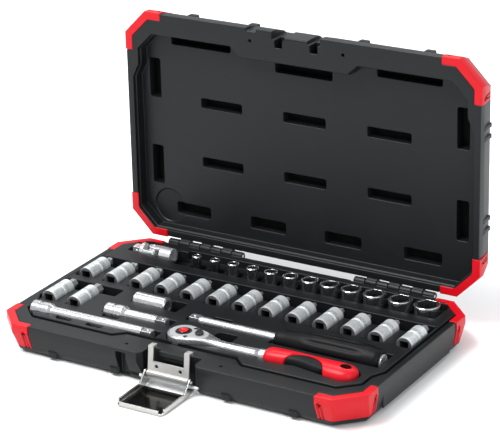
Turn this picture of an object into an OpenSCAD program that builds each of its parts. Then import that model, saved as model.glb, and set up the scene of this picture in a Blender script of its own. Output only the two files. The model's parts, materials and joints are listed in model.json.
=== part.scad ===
// Socket wrench set in a hinged carrying case, quarter-inch drive.
// Frame: origin at the centre of the case's underside, +X to the right along
// the hinge, +Y towards the hinge, +Z up. The lid is drawn open.

/* [Case] */
// Width of the case along the hinge
case_w = 290; // [284:1:360]
// Depth of the case from front wall to back wall
case_d = 173; // [171:1:210]
// Cut across each corner of the outline
corner_cut = 17.2; // [14:0.2:22]
// Height of the base shell, from its underside to the rim
base_h = 22.4; // [21:0.2:30]
// Height of the lid shell, from its rim to its top
lid_h = 22; // [20:0.5:30]
// How far the feet and the rest panel stand below the base shell
foot_h = 1; // [0.6:0.1:2]
// How far the side walls lean in from rim to floor
side_draft = 2; // [0:0.5:4]
// How far the front and back walls lean in from rim to floor
front_draft = 4; // [0:0.5:5]
// Thickness of the blown skin around the air spaces
skin = 2; // [1.5:0.1:3]
// Depth of the lid's hollow below its rim
lid_hollow = 10.5; // [9.5:0.5:12]

/* [Tray] */
// How far the tray's surface stands above the rim
tray_rise = 1; // [0.5:0.1:1.5]
// Width of the groove around the tray
groove_w = 1.4; // [1:0.1:2]
// Depth of the groove around the tray
groove_depth = 3; // [1.5:0.5:4]
// Gap between a lying tool and its cradle
tool_gap = 0.4; // [0.2:0.05:0.8]
// Depth of the finger trenches below the tray's surface
trench_depth = 10; // [8:0.5:12]

/* [Hinge] */
// Distance of the hinge axis behind the back wall
hinge_back = 3.4; // [3.2:0.1:5]
// Distance of the hinge axis below the rim
hinge_drop = 0.9; // [0.8:0.1:1.5]
// Outer radius of the knuckles
knuckle_r = 3; // [2.6:0.1:3.1]
// Radius of the hinge pins
hinge_pin_r = 1.25; // [1:0.05:1.5]
// Distance from the case's middle to the near end of each hinge
hinge_in = 47; // [30:1:60]
// Length of each hinge
hinge_len = 65; // [40:1:70]
// Number of knuckles in each hinge
knuckle_count = 7; // [3:2:9]
// Angle at which the lid stands open
open_angle = 91.2; // [88:0.2:92]

/* [Corner caps] */
// How far a cap stands proud of the walls
cap_proud = 0.8; // [0.4:0.1:1.2]
// How deep a cap is let into the walls
cap_seat = 1; // [0.6:0.1:1.6]
// How far a cap reaches along each wall past the corner cut
cap_reach = 13; // [8:1:18]
// Width of a cap's band on the rim
cap_band = 5.2; // [4:0.2:6]

/* [Latch] */
// Width of the latch's recess in the front wall
latch_w = 42; // [38:1:50]
// Depth of the latch's recess behind the front wall
latch_depth = 13; // [12:0.5:16]
// Width of the latch's lever
lever_w = 37; // [33:1:40]
// Length of the latch's lever from its pivot
lever_len = 38; // [32:1:40]
// Thickness of the latch's sheet metal
sheet_t = 1.2; // [1:0.1:1.5]
// Radius of the lever's pivot pin
lever_pin_r = 1.2; // [1:0.1:1.4]
// Radius of the link's pivot pin
link_pin_r = 1; // [0.8:0.1:1.2]
// Height of the lever's pivot above the underside
pivot_z = 5.6; // [5:0.1:7]

/* [Sockets] */
// Sizes across flats of the upright sockets
socket_sizes = [4, 4.5, 5, 5.5, 6, 7, 8, 9, 10, 11, 12, 13];
// Height of every socket
socket_h = 25; // [22:0.5:28]
// Size of the square drive in every tool
drive_sq = 6.35; // [6.3:0.01:6.4]
// Outer diameter of the sockets' drive ends
drive_end_d = 12; // [11:0.1:13]
// How far the sockets stand above the rim
socket_stand = 5; // [4:0.5:7]

/* [Bits] */
// Diameter of the bit sockets
bit_body_d = 12; // [11:0.2:13]
// Length of the bit sockets
bit_body_l = 24; // [22:0.5:26]
// How far the bits stick out
bit_out = 7.5; // [6:0.5:9]
// Distance between neighbouring bit sockets
bit_pitch = 21.8; // [20:0.1:22]

/* [Extensions] */
// Length of the long extension bar
long_l = 100; // [90:1:103]
// Length of the short extension bar
short_l = 50; // [45:1:54]
// Diameter of the bars
bar_d = 8.4; // [8:0.1:9]

/* [Ratchet] */
// Distance from the ratchet's drive to the end of its handle
ratchet_l = 136; // [125:1:139]
// Radius of the ratchet's head
head_r = 11.4; // [11:0.1:12.5]
// Thickness of the ratchet's head
head_t = 11; // [10:0.5:12]
// Width of the ratchet's grip at its widest
grip_w = 19; // [17:0.5:22]
// Number of teeth on the drive wheel
gear_teeth = 36; // [24:4:48]

/* [Spinner handle] */
// Length of the spinner handle's bare shaft
spinner_shaft_l = 70; // [60:1:76]
// Length of the spinner handle's grip
spinner_grip_l = 81; // [70:1:84]
// Largest diameter of the spinner handle's grip
spinner_grip_d = 21; // [18:0.5:22]

/* [Hidden] */
$fn = 48;
eps = 0.01;
big = 400;

black = [0.13, 0.14, 0.15];
red = [0.86, 0.08, 0.12];
steel = [0.80, 0.82, 0.84];
satin = [0.68, 0.71, 0.73];

rim_z = foot_h + base_h;
tray_z = rim_z + tray_rise;
front_y = -case_d / 2;
back_y = case_d / 2;
half_w = case_w / 2;
hinge_y = back_y + hinge_back;
hinge_z = rim_z - hinge_drop;
run_gap = 0.06;                 // radial gap of a turning fit
knuckle_gap = 0.25;             // gap between neighbouring knuckles

// Tray: its edges step in at the front corners and around the latch.
tray_x = half_w - 6;
tray_front = front_y + 16.8;
tray_mid = front_y + latch_depth + 11;
tray_back = back_y - 6.2;
tray_step = 5;                  // side step near the front corners

// Lying tools share one axis height, so that half of each stands proud.
lie_z = rim_z - 0.5;
bit_y = front_y + 93.5;         // front ends of the long row of bit sockets
bit_row_n = 13;
pair_y = front_y + 47.5;        // front ends of the pair of bit sockets
bits_left = -(bit_row_n - 1) / 2 * bit_pitch;
bit_pocket_r = bit_body_d / 2 + tool_gap;

// Upright sockets: places run from the smallest to the largest.
socket_x = [-71.3, -55.7, -40, -23.7, -7.9, 8.4, 24.4, 40.7, 58.5, 76.8, 97.6, 118.6];
socket_y = back_y - 22;
socket_foot_z = rim_z + socket_stand - socket_h;
channel_z = rim_z - 5;
function nose_d(s) = 1.28 * s + 1.6;
function wide_d(s) = max(nose_d(s), drive_end_d);

long_x = -half_w + 15;
long_y = front_y + 29.5;
short_x = -81;
short_y = front_y + 49.5;
adapter_x = -73;
adapter_y = front_y + 74.5;
adapter_l = 26;
adapter_d = 12.2;
uj_x = -110;                    // crossing point of the joint's two axes
uj_y = back_y - 21;
ratchet_x = -8.4;
ratchet_y = front_y + 36;
spinner_x = -21;
spinner_y = front_y + 64.5;
spinner_r = spinner_grip_d / 2;

// ---------------------------------------------------------------- helpers
function octagon(w, d, c) = [[-w/2 + c, -d/2], [w/2 - c, -d/2], [w/2, -d/2 + c], [w/2, d/2 - c],
                             [w/2 - c, d/2], [-w/2 + c, d/2], [-w/2, d/2 - c], [-w/2, -d/2 + c]];

// The case's outline moved in by ix, iy and ic on its sides, its front and back,
// and its corner cuts.
module outline(ix, iy, ic) {
    polygon(octagon(case_w - 2*ix, case_d - 2*iy, corner_cut - ix - iy + ic * sqrt(2)));
}

// A case half moved out by g, from z = 0 at its rim to z = h at its far side.
edge_round = 2.4;               // slope where the walls meet the floor
module half_body(h, g) {
    ic = (side_draft + front_draft) * 0.7;
    hull() {
        linear_extrude(h * 0.3) outline(-g, -g, -g);
        linear_extrude(h - 3) outline(side_draft - g, front_draft - g, ic - g);
        linear_extrude(h + g)
            outline(side_draft + edge_round - g, front_draft + edge_round - g, ic + edge_round - g);
    }
}
module base_body(g) { translate([0, 0, rim_z]) mirror([0, 0, 1]) half_body(base_h, g); }
module lid_body(g) { translate([0, 0, rim_z]) half_body(lid_h, g); }

// Moves a lid drawn shut to where it stands open.
module opened() {
    translate([0, hinge_y, hinge_z]) rotate([-open_angle, 0, 0])
        translate([0, -hinge_y, -hinge_z]) children();
}

module box(low, high) { translate(low) cube(high - low); }

// A box with rounded upright edges.
module round_box(low, high, r) {
    size = high - low;
    translate(low) linear_extrude(size[2]) {
        translate([r, 0]) square([size[0] - 2*r, size[1]]);
        translate([0, r]) square([size[0], size[1] - 2*r]);
        for (x = [r, size[0] - r], y = [r, size[1] - r]) translate([x, y]) circle(r);
    }
}

// A rod along +X or +Y from a point.
module rod_x(p, r, l) { translate(p) rotate([0, 90, 0]) cylinder(r = r, h = l); }
module rod_y(p, r, l) { translate(p) rotate([-90, 0, 0]) cylinder(r = r, h = l); }
module hexagon(flats) { circle(d = flats / cos(30), $fn = 6); }

// A cradle for a rod that lies along +X: round below its axis, open above.
module cradle_x(p, r, l) {
    rod_x(p, r, l);
    box(p - [0, r, 0], p + [l, r, big / 10]);
}
module cradle_y(p, r, l) {
    rod_y(p, r, l);
    box(p - [r, 0, 0], p + [r, l, big / 10]);
}

// ---------------------------------------------------------------- case
corner_signs = [[1, 1], [1, -1], [-1, 1], [-1, -1]];
cap_zone_x = half_w - corner_cut - cap_reach;
cap_zone_y = back_y - corner_cut - cap_reach;

module corner_zones() {
    for (s = corner_signs)
        translate([s[0] * (cap_zone_x + big / 4), s[1] * (cap_zone_y + big / 4), 0])
            cube([big / 2, big / 2, big], center = true);
}

// Corner caps of a half whose rim is at z = 0, with gap taken off their inner faces.
module caps(h, gap) {
    intersection() {
        difference() {
            half_body(h - skin, cap_proud);
            difference() {
                translate([0, 0, -eps]) half_body(h + 2, -cap_seat - gap);
                difference() {
                    translate([0, 0, -1]) linear_extrude(1 + cap_seat + gap) square(2 * big, center = true);
                    translate([0, 0, -2]) linear_extrude(4) outline(cap_band + gap, cap_band + gap, cap_band + gap);
                }
            }
            for (s = corner_signs, i = [0, 1]) cap_groove(s, i, h);
        }
        corner_zones();
    }
}
// A groove near each end of a cap, on its outer face.
module cap_groove(s, i, h) {
    at = i == 0 ? [s[0] * (cap_zone_x + 3.5), s[1] * (back_y + cap_proud), h / 2 + 3]
                : [s[0] * (half_w + cap_proud), s[1] * (cap_zone_y + 3.5), h / 2 + 3];
    translate(at) cube([1.4, 1.4, h - 2], center = true);
}

tray_points = [
    [-tray_x + 17, tray_front], [-55, tray_front], [-47, tray_mid], [42, tray_mid],
    [50, tray_front], [tray_x - 17, tray_front], [tray_x - tray_step, tray_front + 12],
    [tray_x - tray_step, tray_front + 24], [tray_x, tray_front + 34],
    [tray_x, tray_back - 14], [tray_x - 14, tray_back], [-tray_x + 14, tray_back],
    [-tray_x, tray_back - 14], [-tray_x, tray_front + 34], [-tray_x + tray_step, tray_front + 24],
    [-tray_x + tray_step, tray_front + 12]];

module tray_outline(g) { offset(delta = g) polygon(tray_points); }

bit_xs = [for (i = [0 : bit_row_n - 1]) bits_left + i * bit_pitch];
pair_xs = [bits_left, bits_left + bit_pitch];
bit_front_gap = 4.5;            // open length in front of a bit socket's drive end
band_sink = 1.6;                // depth of the bands below the tray's top
row_end_y = bit_y + bit_body_l + bit_out;
pair_end_y = pair_y + bit_body_l + bit_out;

// Every hollow that a tool lies or stands in.
module tool_pockets() {
    // Upright sockets: a shallow channel with a round hole for each.
    round_box([socket_x[0] - 14, socket_y - 12, channel_z],
              [socket_x[11] + 12, socket_y + 13.5, tray_z + 1], 2);
    for (i = [0 : 11])
        translate([socket_x[i], socket_y, socket_foot_z - 0.05])
            cylinder(r = wide_d(socket_sizes[i]) / 2 + tool_gap, h = socket_h);
    // Bit sockets, with a finger trench behind the tips.
    for (x = bit_xs) cradle_y([x, bit_y - bit_front_gap, lie_z], bit_pocket_r, bit_front_gap + bit_body_l + 1);
    for (x = pair_xs) cradle_y([x, pair_y - bit_front_gap, lie_z], bit_pocket_r, bit_front_gap + bit_body_l + 1);
    // Sunken bands that the bit sockets lie across.
    round_box([bits_left - 7, bit_y - bit_front_gap + 1, tray_z - band_sink],
              [-bits_left + 7, bit_y + bit_body_l, tray_z + 1], 1.5);
    round_box([bits_left - 7, pair_y - bit_front_gap + 1, tray_z - band_sink],
              [pair_xs[1] + 8, pair_y + bit_body_l, tray_z + 1], 1.5);
    round_box([bits_left - 7, bit_y + bit_body_l - 2, tray_z - trench_depth],
              [-bits_left + 7, row_end_y + 3, tray_z + 1], 1.5);
    round_box([bits_left - 7, pair_y + bit_body_l - 2, tray_z - trench_depth],
              [pair_xs[1] + 20, pair_end_y + 2.5, tray_z + 1], 1.5);
    // Extension bars, each with a finger recess.
    cradle_x([long_x - 1, long_y, lie_z], drive_end_d / 2 + tool_gap, 19);
    cradle_x([long_x, long_y, lie_z], bar_d / 2 + tool_gap, long_l + 5);
    cradle_x([short_x - 1, short_y, lie_z], drive_end_d / 2 + tool_gap, 19);
    cradle_x([short_x, short_y, lie_z], bar_d / 2 + tool_gap, short_l + 5);
    for (x = [long_x + 24, long_x + 50])
        round_box([x, long_y - 9.5, tray_z - 7], [x + 13, long_y + 3, tray_z + 1], 2);
    round_box([short_x + 2, short_y - 11.5, tray_z - 8], [short_x + 16, short_y + 3, tray_z + 1], 2);
    // Bit adapter.
    cradle_x([adapter_x - 1, adapter_y, lie_z], adapter_d / 2 + tool_gap, adapter_l + 2);
    round_box([adapter_x + adapter_l, adapter_y - 8, tray_z - 9],
              [adapter_x + adapter_l + 12, adapter_y + 8, tray_z + 1], 2);
    uj_pocket();
    ratchet_pocket();
    spinner_pocket();
}

// Universal joint: its drive end has room to swing towards the hinge.
uj_swing = 25;
uj_ear_room = 0.5;              // extra room in front for the ears' corners as it swings
uj_end_l = 17;
uj_sq_l = 7;
module uj_pocket() {
    cradle_x([uj_x - 1, uj_y, lie_z], drive_end_d / 2 + tool_gap, uj_end_l + 1.5);
    cradle_x([uj_x - uj_end_l - 2, uj_y, lie_z], drive_end_d / 2 + tool_gap, uj_end_l + 2);
    translate([uj_x, uj_y, lie_z - drive_end_d / 2 - tool_gap])
        linear_extrude(drive_end_d) polygon([
            [drive_end_d / 2, -drive_end_d / 2 - tool_gap - uj_ear_room],
            [-uj_end_l - 2, -drive_end_d / 2 - tool_gap - uj_ear_room],
            [-uj_end_l - 2, uj_end_l * sin(uj_swing) + 5],
            [-uj_end_l * 0.6, uj_end_l * sin(uj_swing) + 7],
            [drive_end_d / 2, drive_end_d / 2 + tool_gap]]);
    round_box([uj_x + uj_end_l, uj_y - 9, tray_z - 9], [uj_x + uj_end_l + 11, uj_y + 9, tray_z + 1], 2);
}

ratchet_z = rim_z - 0.6;        // mid height of the ratchet's head
grip_start = 66;                // where the grip begins, from the drive
drive_hole_r = 6.2;             // hole under the ratchet for its drive square
module ratchet_pocket() {
    gap = tool_gap + 0.4;
    translate([ratchet_x, ratchet_y, 0]) {
        translate([0, 0, ratchet_z - head_t / 2 - 0.1]) cylinder(r = head_r + gap, h = big / 10);
        translate([0, 0, ratchet_z - head_t / 2 - sq_l - 1]) cylinder(r = drive_hole_r, h = big / 10);
        translate([0, 0, ratchet_z - head_t / 2 - 0.1]) linear_extrude(big / 10) offset(delta = gap) head_outline();
        box([20, -5.2, ratchet_z - head_t / 2 - 0.1], [grip_start + 2, 5.2, big / 10]);
        translate([0, 0, ratchet_z - grip_t / 2 - 0.2]) linear_extrude(big / 10) offset(delta = gap) grip_outline();
    }
    round_box([ratchet_x + 18, ratchet_y - 4, tray_z - 9],
              [ratchet_x + 34, ratchet_y + 17, tray_z + 1], 3);
}

module spinner_pocket() {
    cradle_x([spinner_x - 2, spinner_y, lie_z], bar_d / 2 + tool_gap, spinner_shaft_l + 4);
    cradle_x([spinner_x + spinner_shaft_l - 1, spinner_y, lie_z], spinner_r + tool_gap, spinner_grip_l + 3.5);
    round_box([spinner_x + 14, spinner_y - 8, tray_z - 8], [spinner_x + 30, spinner_y + 8, tray_z + 1], 2);
}

// Latch recess in the base's front wall, with a bar across its back.
latch_back_y = front_y + latch_depth;
pivot_y = front_y + 3.6;
hinge_slot_x = -half_w + 103;
module latch_recess() {
    linear_extrude(big, center = true) polygon([
        [-latch_w / 2, latch_back_y], [latch_w / 2, latch_back_y],
        [latch_w / 2, front_y + 4], [latch_w / 2 + 6, front_y - 4],
        [-latch_w / 2 - 6, front_y - 4], [-latch_w / 2, front_y + 4]]);
}
module latch_bar() {
    round_bar_r = 3.2;
    box([-11.5, latch_back_y - 3.4, rim_z - 6.5], [11.5, latch_back_y + 1, rim_z - 0.2]);
    rod_x([-11.5, latch_back_y - 1.4, rim_z - 2.6], round_bar_r, 23);
}

// Sealed air space between the two skins of the blown shell, and its blowing hole.
air_x = half_w - 9;
air_top = lie_z - spinner_r - tool_gap - skin;
air_top_bits = tray_z - trench_depth - skin;
module base_air() {
    floor_z = foot_h + skin;
    difference() {
        union() {
            box([-air_x, tray_front + 4, floor_z], [air_x, row_end_y + 2, air_top]);
            box([-air_x, bit_y - 8, floor_z], [air_x, row_end_y + 2, air_top_bits]);
        }
        translate([ratchet_x, ratchet_y, 0]) cylinder(r = drive_hole_r + skin, h = big);
    }
    translate([0, bit_y + 4, -1]) cylinder(r = 1, h = floor_z + 2);
}

vent_x = [-38, 38];
module vent_holes() {
    for (x = vent_x) translate([x, front_y + 9.5, rim_z - 6]) cylinder(r = 1.1, h = 8);
}

// Pairs of ribs on the lid's side walls.
module side_ribs(h) {
    for (s = [-1, 1], y = [-38, -30, 30, 38])
        translate([s * (half_w - side_draft * 0.5), y, h * 0.55]) cube([2.4, 3.4, h * 0.5], center = true);
}
// Long panel on each side wall of the base, which stands proud towards its foot.
module side_panels(h) {
    panel_l = 96;
    for (s = [-1, 1])
        translate([s * (half_w - side_draft * 0.55), 0, h / 2]) cube([1.4, panel_l, h * 0.76], center = true);
}
module wall_ribs(h) {
    for (x = [-half_w + 48, -half_w + 100, half_w - 100, half_w - 48])
        translate([x, front_y + front_draft, h - 3.5]) cube([7, 3, 5], center = true);
}

module knuckle_row(first, z_arm) {
    step = hinge_len / knuckle_count;
    root_z = first == 0 ? hinge_z : rim_z;
    web_gap = 0.3;
    for (s = [-1, 1], i = [first : 2 : knuckle_count - 1]) {
        x0 = (s > 0 ? hinge_in : -hinge_in - hinge_len) + i * step;
        difference() {
            union() {
                rod_x([x0 + knuckle_gap / 2, hinge_y, hinge_z], knuckle_r, step - knuckle_gap);
                box([x0 + knuckle_gap / 2, back_y - 3, min(z_arm, root_z)],
                    [x0 + step - knuckle_gap / 2, back_y + web_gap, max(z_arm, root_z)]);
                box([x0 + knuckle_gap / 2, back_y + web_gap, min(z_arm, hinge_z)],
                    [x0 + step - knuckle_gap / 2, hinge_y, max(z_arm, hinge_z)]);
            }
            rod_x([x0 - 1, hinge_y, hinge_z], hinge_pin_r + (first == 0 ? 0.01 : run_gap), step + 2);
        }
    }
}

module base_shell() {
    color(black) difference() {
        union() {
            difference() {
                base_body(0);
                translate([0, 0, rim_z]) mirror([0, 0, 1]) caps(base_h, 0);
                // Step that the lid's hinge edge turns in.
                for (s = [-1, 1])
                    box([s * (hinge_in + hinge_len / 2) - hinge_len / 2 - 1, back_y - 0.6, hinge_z - 4],
                        [s * (hinge_in + hinge_len / 2) + hinge_len / 2 + 1, back_y + 1, rim_z + 1]);
                translate([0, 0, rim_z - groove_depth]) linear_extrude(big) tray_outline(groove_w);
            }
            translate([0, 0, rim_z - groove_depth - eps])
                linear_extrude(groove_depth + tray_rise + eps) tray_outline(0);
            knuckle_row(0, hinge_z - 3.2);
            round_box([-100, -50, 0], [100, 50, foot_h + 1], 6);
            for (s = corner_signs)
                round_box([s[0] * (half_w - 40) - 8, s[1] * (back_y - 18) - 6, 0],
                          [s[0] * (half_w - 40) + 8, s[1] * (back_y - 18) + 6, foot_h + 1], 3);
            translate([0, 0, rim_z]) mirror([0, 0, 1]) {
                wall_ribs(base_h);
                side_panels(base_h);
            }
        }
        tool_pockets();
        difference() {
            latch_recess();
            latch_bar();
        }
        // Pivot pin's bore, and the slot it is pushed in through.
        rod_x([-latch_w / 2 - 14, pivot_y, pivot_z], lever_pin_r + 0.01, latch_w + 16.5);
        round_box([-latch_w / 2 - 20, front_y - 4, foot_h + 1.6],
                  [-latch_w / 2 - 12, front_y + 7, rim_z - 2.5], 1);
        vent_holes();
        base_air();
    }
}

// ---------------------------------------------------------------- lid
slot_w = 7.5;
slot_depth = lid_h - skin;
lid_slots = concat(
    [for (x = [-86.5, 85]) [x, -back_y + 20, 51, slot_w + 1.5]],
    [[0, -back_y + 29, 47, slot_w + 1]],
    [for (x = [-70, 0, 69], y = [-20, 26]) [x, y, 35, slot_w]],
    [for (x = [-97, -32, 31, 96]) [x, back_y - 20, 30, slot_w + 1.5]],
    [for (x = [-127.5, 127], y = [-34, 34]) [x, y, 9.5, 30]]);

module lid_slot(s, g) {
    round_box([s[0] - s[2]/2 - g, s[1] - s[3]/2 - g, rim_z + lid_hollow - 1],
              [s[0] + s[2]/2 + g, s[1] + s[3]/2 + g, rim_z + slot_depth + g], 1.5 + g);
}

tray_gap = 1;                   // gap around the raised tray when shut
lid_lip = 1;                    // ledge between the rim and the hollow
// The lid's hollow: its edge follows the tray, with a ledge around it.
module lid_hollow_outline(g) { tray_outline(tray_gap - g); }

catch_z = rim_z + 1.8;          // underside of a shut hook, on top of the catch
hook_gap = 0.1;                 // gap between a shut hook and its catch
// The lid's front: a recess for the latch, with a block in its middle and a
// catch for each hook.
module lid_latch_recess() {
    catch_y = front_y + 6;
    difference() {
        box([-lever_w / 2 - 1.2, front_y - 8, rim_z - 1], [lever_w / 2 + 1.2, catch_y, rim_z + lid_h + 1]);
        hull() {
            box([-9.5, catch_y - 3, rim_z + 1], [9.5, catch_y + 1, rim_z + lid_h - 3]);
            box([-9.5, catch_y, rim_z - 2], [9.5, catch_y + 1, rim_z + lid_h]);
        }
    }
    for (s = [-1, 1]) {
        low_x = s * hook_x - arm_w / 2 - 1;
        high_x = s * hook_x + arm_w / 2 + 1;
        arm_back = hook_y + shut_y + sheet_t + 0.4;
        tip_y = hook_y + shut_y + hook_l;
        box([low_x, catch_y - 1, rim_z - 1], [high_x, arm_back, catch_z + 8]);
        box([low_x, arm_back - 1, catch_z], [high_x, tip_y + 0.6, catch_z + 8]);
        box([low_x, tip_y - sheet_t - 0.5, catch_z - hook_tip - 0.4], [high_x, tip_y + 0.6, catch_z + 1]);
    }
    // The pin slot of the base goes on up the lid.
    round_box([-latch_w / 2 - 20, front_y - 4, rim_z - 1],
              [-latch_w / 2 - 12, front_y + 2.5, rim_z + lid_h + 1], 1);
}

module lid_air() {
    difference() {
        box([-air_x, -back_y + 14, rim_z + lid_hollow + skin], [air_x, back_y - 11, rim_z + lid_h - skin]);
        for (s = lid_slots) lid_slot(s, skin);
    }
    translate([-50, 4, rim_z + lid_h - skin - 1]) cylinder(r = 1, h = skin + 4);
}

module lid_shell() {
    color(black) opened() difference() {
        union() {
            difference() {
                lid_body(0);
                translate([0, 0, rim_z]) caps(lid_h, 0);
                translate([0, 0, rim_z - 1]) linear_extrude(1 + groove_depth) lid_hollow_outline(0);
                translate([0, 0, rim_z]) linear_extrude(lid_hollow) lid_hollow_outline(lid_lip);
            }
            knuckle_row(1, rim_z + 3);
            translate([0, 0, rim_z]) {
                wall_ribs(lid_h);
                side_ribs(lid_h);
            }
        }
        for (s = lid_slots) lid_slot(s, 0);
        // Round relief over the universal joint.
        translate([uj_x - 8, uj_y, rim_z + lid_hollow - 1]) cylinder(r = 13, h = 2);
        lid_latch_recess();
        // Room for the base's knuckles, open and shut.
        for (s = [-1, 1], i = [0 : 2 : knuckle_count - 1]) {
            end_lip = 0.05;
            x0 = (s > 0 ? hinge_in : -hinge_in - hinge_len) + i * hinge_len / knuckle_count;
            rod_x([x0 - knuckle_gap / 2 + end_lip, hinge_y, hinge_z], knuckle_r + 0.25,
                  hinge_len / knuckle_count + knuckle_gap - 2 * end_lip);
        }
        for (x = vent_x) translate([x, front_y + 9.5, rim_z - 1]) cylinder(r = 1.1, h = 7);
        lid_air();
    }
}

module base_corner_caps() {
    color(red) translate([0, 0, rim_z]) mirror([0, 0, 1]) caps(base_h, 0);
}
module lid_corner_caps() {
    color(red) opened() translate([0, 0, rim_z]) caps(lid_h, 0);
}
module hinge_pins() {
    color(steel) for (s = [-1, 1])
        rod_x([s > 0 ? hinge_in + 0.5 : -hinge_in - hinge_len + 0.5, hinge_y, hinge_z],
              hinge_pin_r, hinge_len - 1);
}

// ---------------------------------------------------------------- latch
// The link's pivot stands off the lever's pivot, so that folding the lever up
// against the lid draws the hooks in and down, past centre.
link_arm = 4.6;
link_angle = 68;
link_y = pivot_y - link_arm * cos(link_angle);
link_z = pivot_z + link_arm * sin(link_angle);
shut_turn = 90;
shut_y = link_arm * (cos(link_angle) - cos(link_angle + shut_turn));
shut_z = link_arm * (sin(link_angle + shut_turn) - sin(link_angle));
link_w = 33;
arm_w = 4.2;
hook_x = link_w / 2 - arm_w / 2;
hook_l = 5.2;
hook_tip = 1;
hook_z = catch_z + hook_gap - shut_z;
hook_y = front_y + 4.2;
plate_h = 8.5;
lever_pan_z = 0.5;

module latch_lever() {
    ear = sheet_t;
    ear_r = 3.4;
    color(steel) difference() {
        union() {
            // Pan, its raised edges and its front lip.
            round_box([-lever_w / 2, pivot_y - lever_len, lever_pan_z],
                      [lever_w / 2, pivot_y - 6, lever_pan_z + sheet_t], 3);
            for (s = [-1, 1])
                box([s > 0 ? lever_w / 2 - ear : -lever_w / 2, pivot_y - lever_len + 3, lever_pan_z],
                    [s > 0 ? lever_w / 2 : -lever_w / 2 + ear, pivot_y - 4, lever_pan_z + 4]);
            box([-lever_w / 2 + 3, pivot_y - lever_len, lever_pan_z],
                [lever_w / 2 - 3, pivot_y - lever_len + ear, lever_pan_z + 3.4]);
            for (s = [-1, 1]) hull() {
                x0 = s > 0 ? lever_w / 2 - ear : -lever_w / 2;
                rod_x([x0, pivot_y, pivot_z], ear_r, ear);
                rod_x([x0, link_y, link_z], 2.4, ear);
                box([x0, pivot_y - 10, lever_pan_z], [x0 + ear, pivot_y - 5, lever_pan_z + 4]);
            }
        }
        rod_x([-lever_w, pivot_y, pivot_z], lever_pin_r + run_gap, 2 * lever_w);
        rod_x([-lever_w, link_y, link_z], link_pin_r + 0.01, 2 * lever_w);
    }
}

module latch_link() {
    knuckle = link_pin_r + 1.1;
    color([0.74, 0.73, 0.70]) difference() {
        union() {
            rod_x([-link_w / 2, link_y, link_z], knuckle, link_w);
            link_sheet([-link_w / 2, link_w / 2], 0, plate_h);
            for (s = [-1, 1]) {
                x0 = s > 0 ? link_w / 2 - arm_w : -link_w / 2;
                link_sheet([x0, x0 + arm_w], plate_h - 1, hook_z + sheet_t - link_z);
                box([x0, hook_y, hook_z], [x0 + arm_w, hook_y + hook_l, hook_z + sheet_t]);
                box([x0, hook_y + hook_l - sheet_t, hook_z - hook_tip], [x0 + arm_w, hook_y + hook_l, hook_z + sheet_t]);
            }
        }
        rod_x([-link_w, link_y, link_z], link_pin_r + run_gap, 2 * link_w);
        for (s = [-1, 1]) rod_y([s * 9.5, link_y - 8, link_z + 5.2], 1.3, 20);
    }
}
// A strip of the link's sheet between two heights above its pivot; it leans in.
module link_sheet(xs, low, high) {
    lean = (hook_y - link_y) / (hook_z - link_z);
    translate([xs[0], 0, 0]) rotate([90, 0, 90]) linear_extrude(xs[1] - xs[0]) polygon([
        [link_y + lean * low, link_z + low], [link_y + lean * high, link_z + high],
        [link_y + lean * high + sheet_t, link_z + high], [link_y + lean * low + sheet_t, link_z + low]]);
}

module latch_lever_pin() {
    color(steel) rod_x([-latch_w / 2 - 3, pivot_y, pivot_z], lever_pin_r, latch_w + 5);
}
module latch_link_pin() {
    color(steel) rod_x([-lever_w / 2 - 0.4, link_y, link_z], link_pin_r, lever_w + 0.8);
}

// ---------------------------------------------------------------- sockets
// A socket that stands on its drive end at z = 0, with its hex mouth up.
module upright_socket(s) {
    nd = nose_d(s);
    wide = nd > drive_end_d;
    neck = 0.42 * socket_h;
    color(steel) difference() {
        union() {
            if (wide) {
                cylinder(d1 = drive_end_d, d2 = drive_end_d + 0.6, h = neck);
                translate([0, 0, neck - eps]) cylinder(d1 = drive_end_d + 0.6, d2 = nd, h = 2.5);
                translate([0, 0, neck + 2.4]) cylinder(d = nd, h = socket_h - neck - 2.9);
                translate([0, 0, socket_h - 0.5 - eps]) cylinder(d1 = nd, d2 = nd - 0.9, h = 0.5);
            } else {
                cylinder(d = drive_end_d, h = neck);
                translate([0, 0, neck - eps]) cylinder(d1 = drive_end_d, d2 = nd, h = 4);
                translate([0, 0, neck + 3.9]) cylinder(d = nd, h = socket_h - neck - 4.4);
                translate([0, 0, socket_h - 0.5 - eps]) cylinder(d1 = nd, d2 = nd - 0.9, h = 0.5);
            }
        }
        translate([0, 0, -1]) linear_extrude(10) square(drive_sq + 0.1, center = true);
        translate([0, 0, socket_h - max(6, 0.9 * s)]) linear_extrude(30) hexagon(s + 0.1);
        translate([0, 0, 5]) cylinder(d = min(s, drive_sq) * 0.8, h = socket_h);
    }
}
module placed_socket(i) {
    translate([socket_x[i], socket_y, socket_foot_z]) upright_socket(socket_sizes[i]);
}
module socket_4() { placed_socket(0); }
module socket_4_5() { placed_socket(1); }
module socket_5() { placed_socket(2); }
module socket_5_5() { placed_socket(3); }
module socket_6() { placed_socket(4); }
module socket_7() { placed_socket(5); }
module socket_8() { placed_socket(6); }
module socket_9() { placed_socket(7); }
module socket_10() { placed_socket(8); }
module socket_11() { placed_socket(9); }
module socket_12() { placed_socket(10); }
module socket_13() { placed_socket(11); }

// ---------------------------------------------------------------- bit sockets
shank_flats = 6.35;
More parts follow.
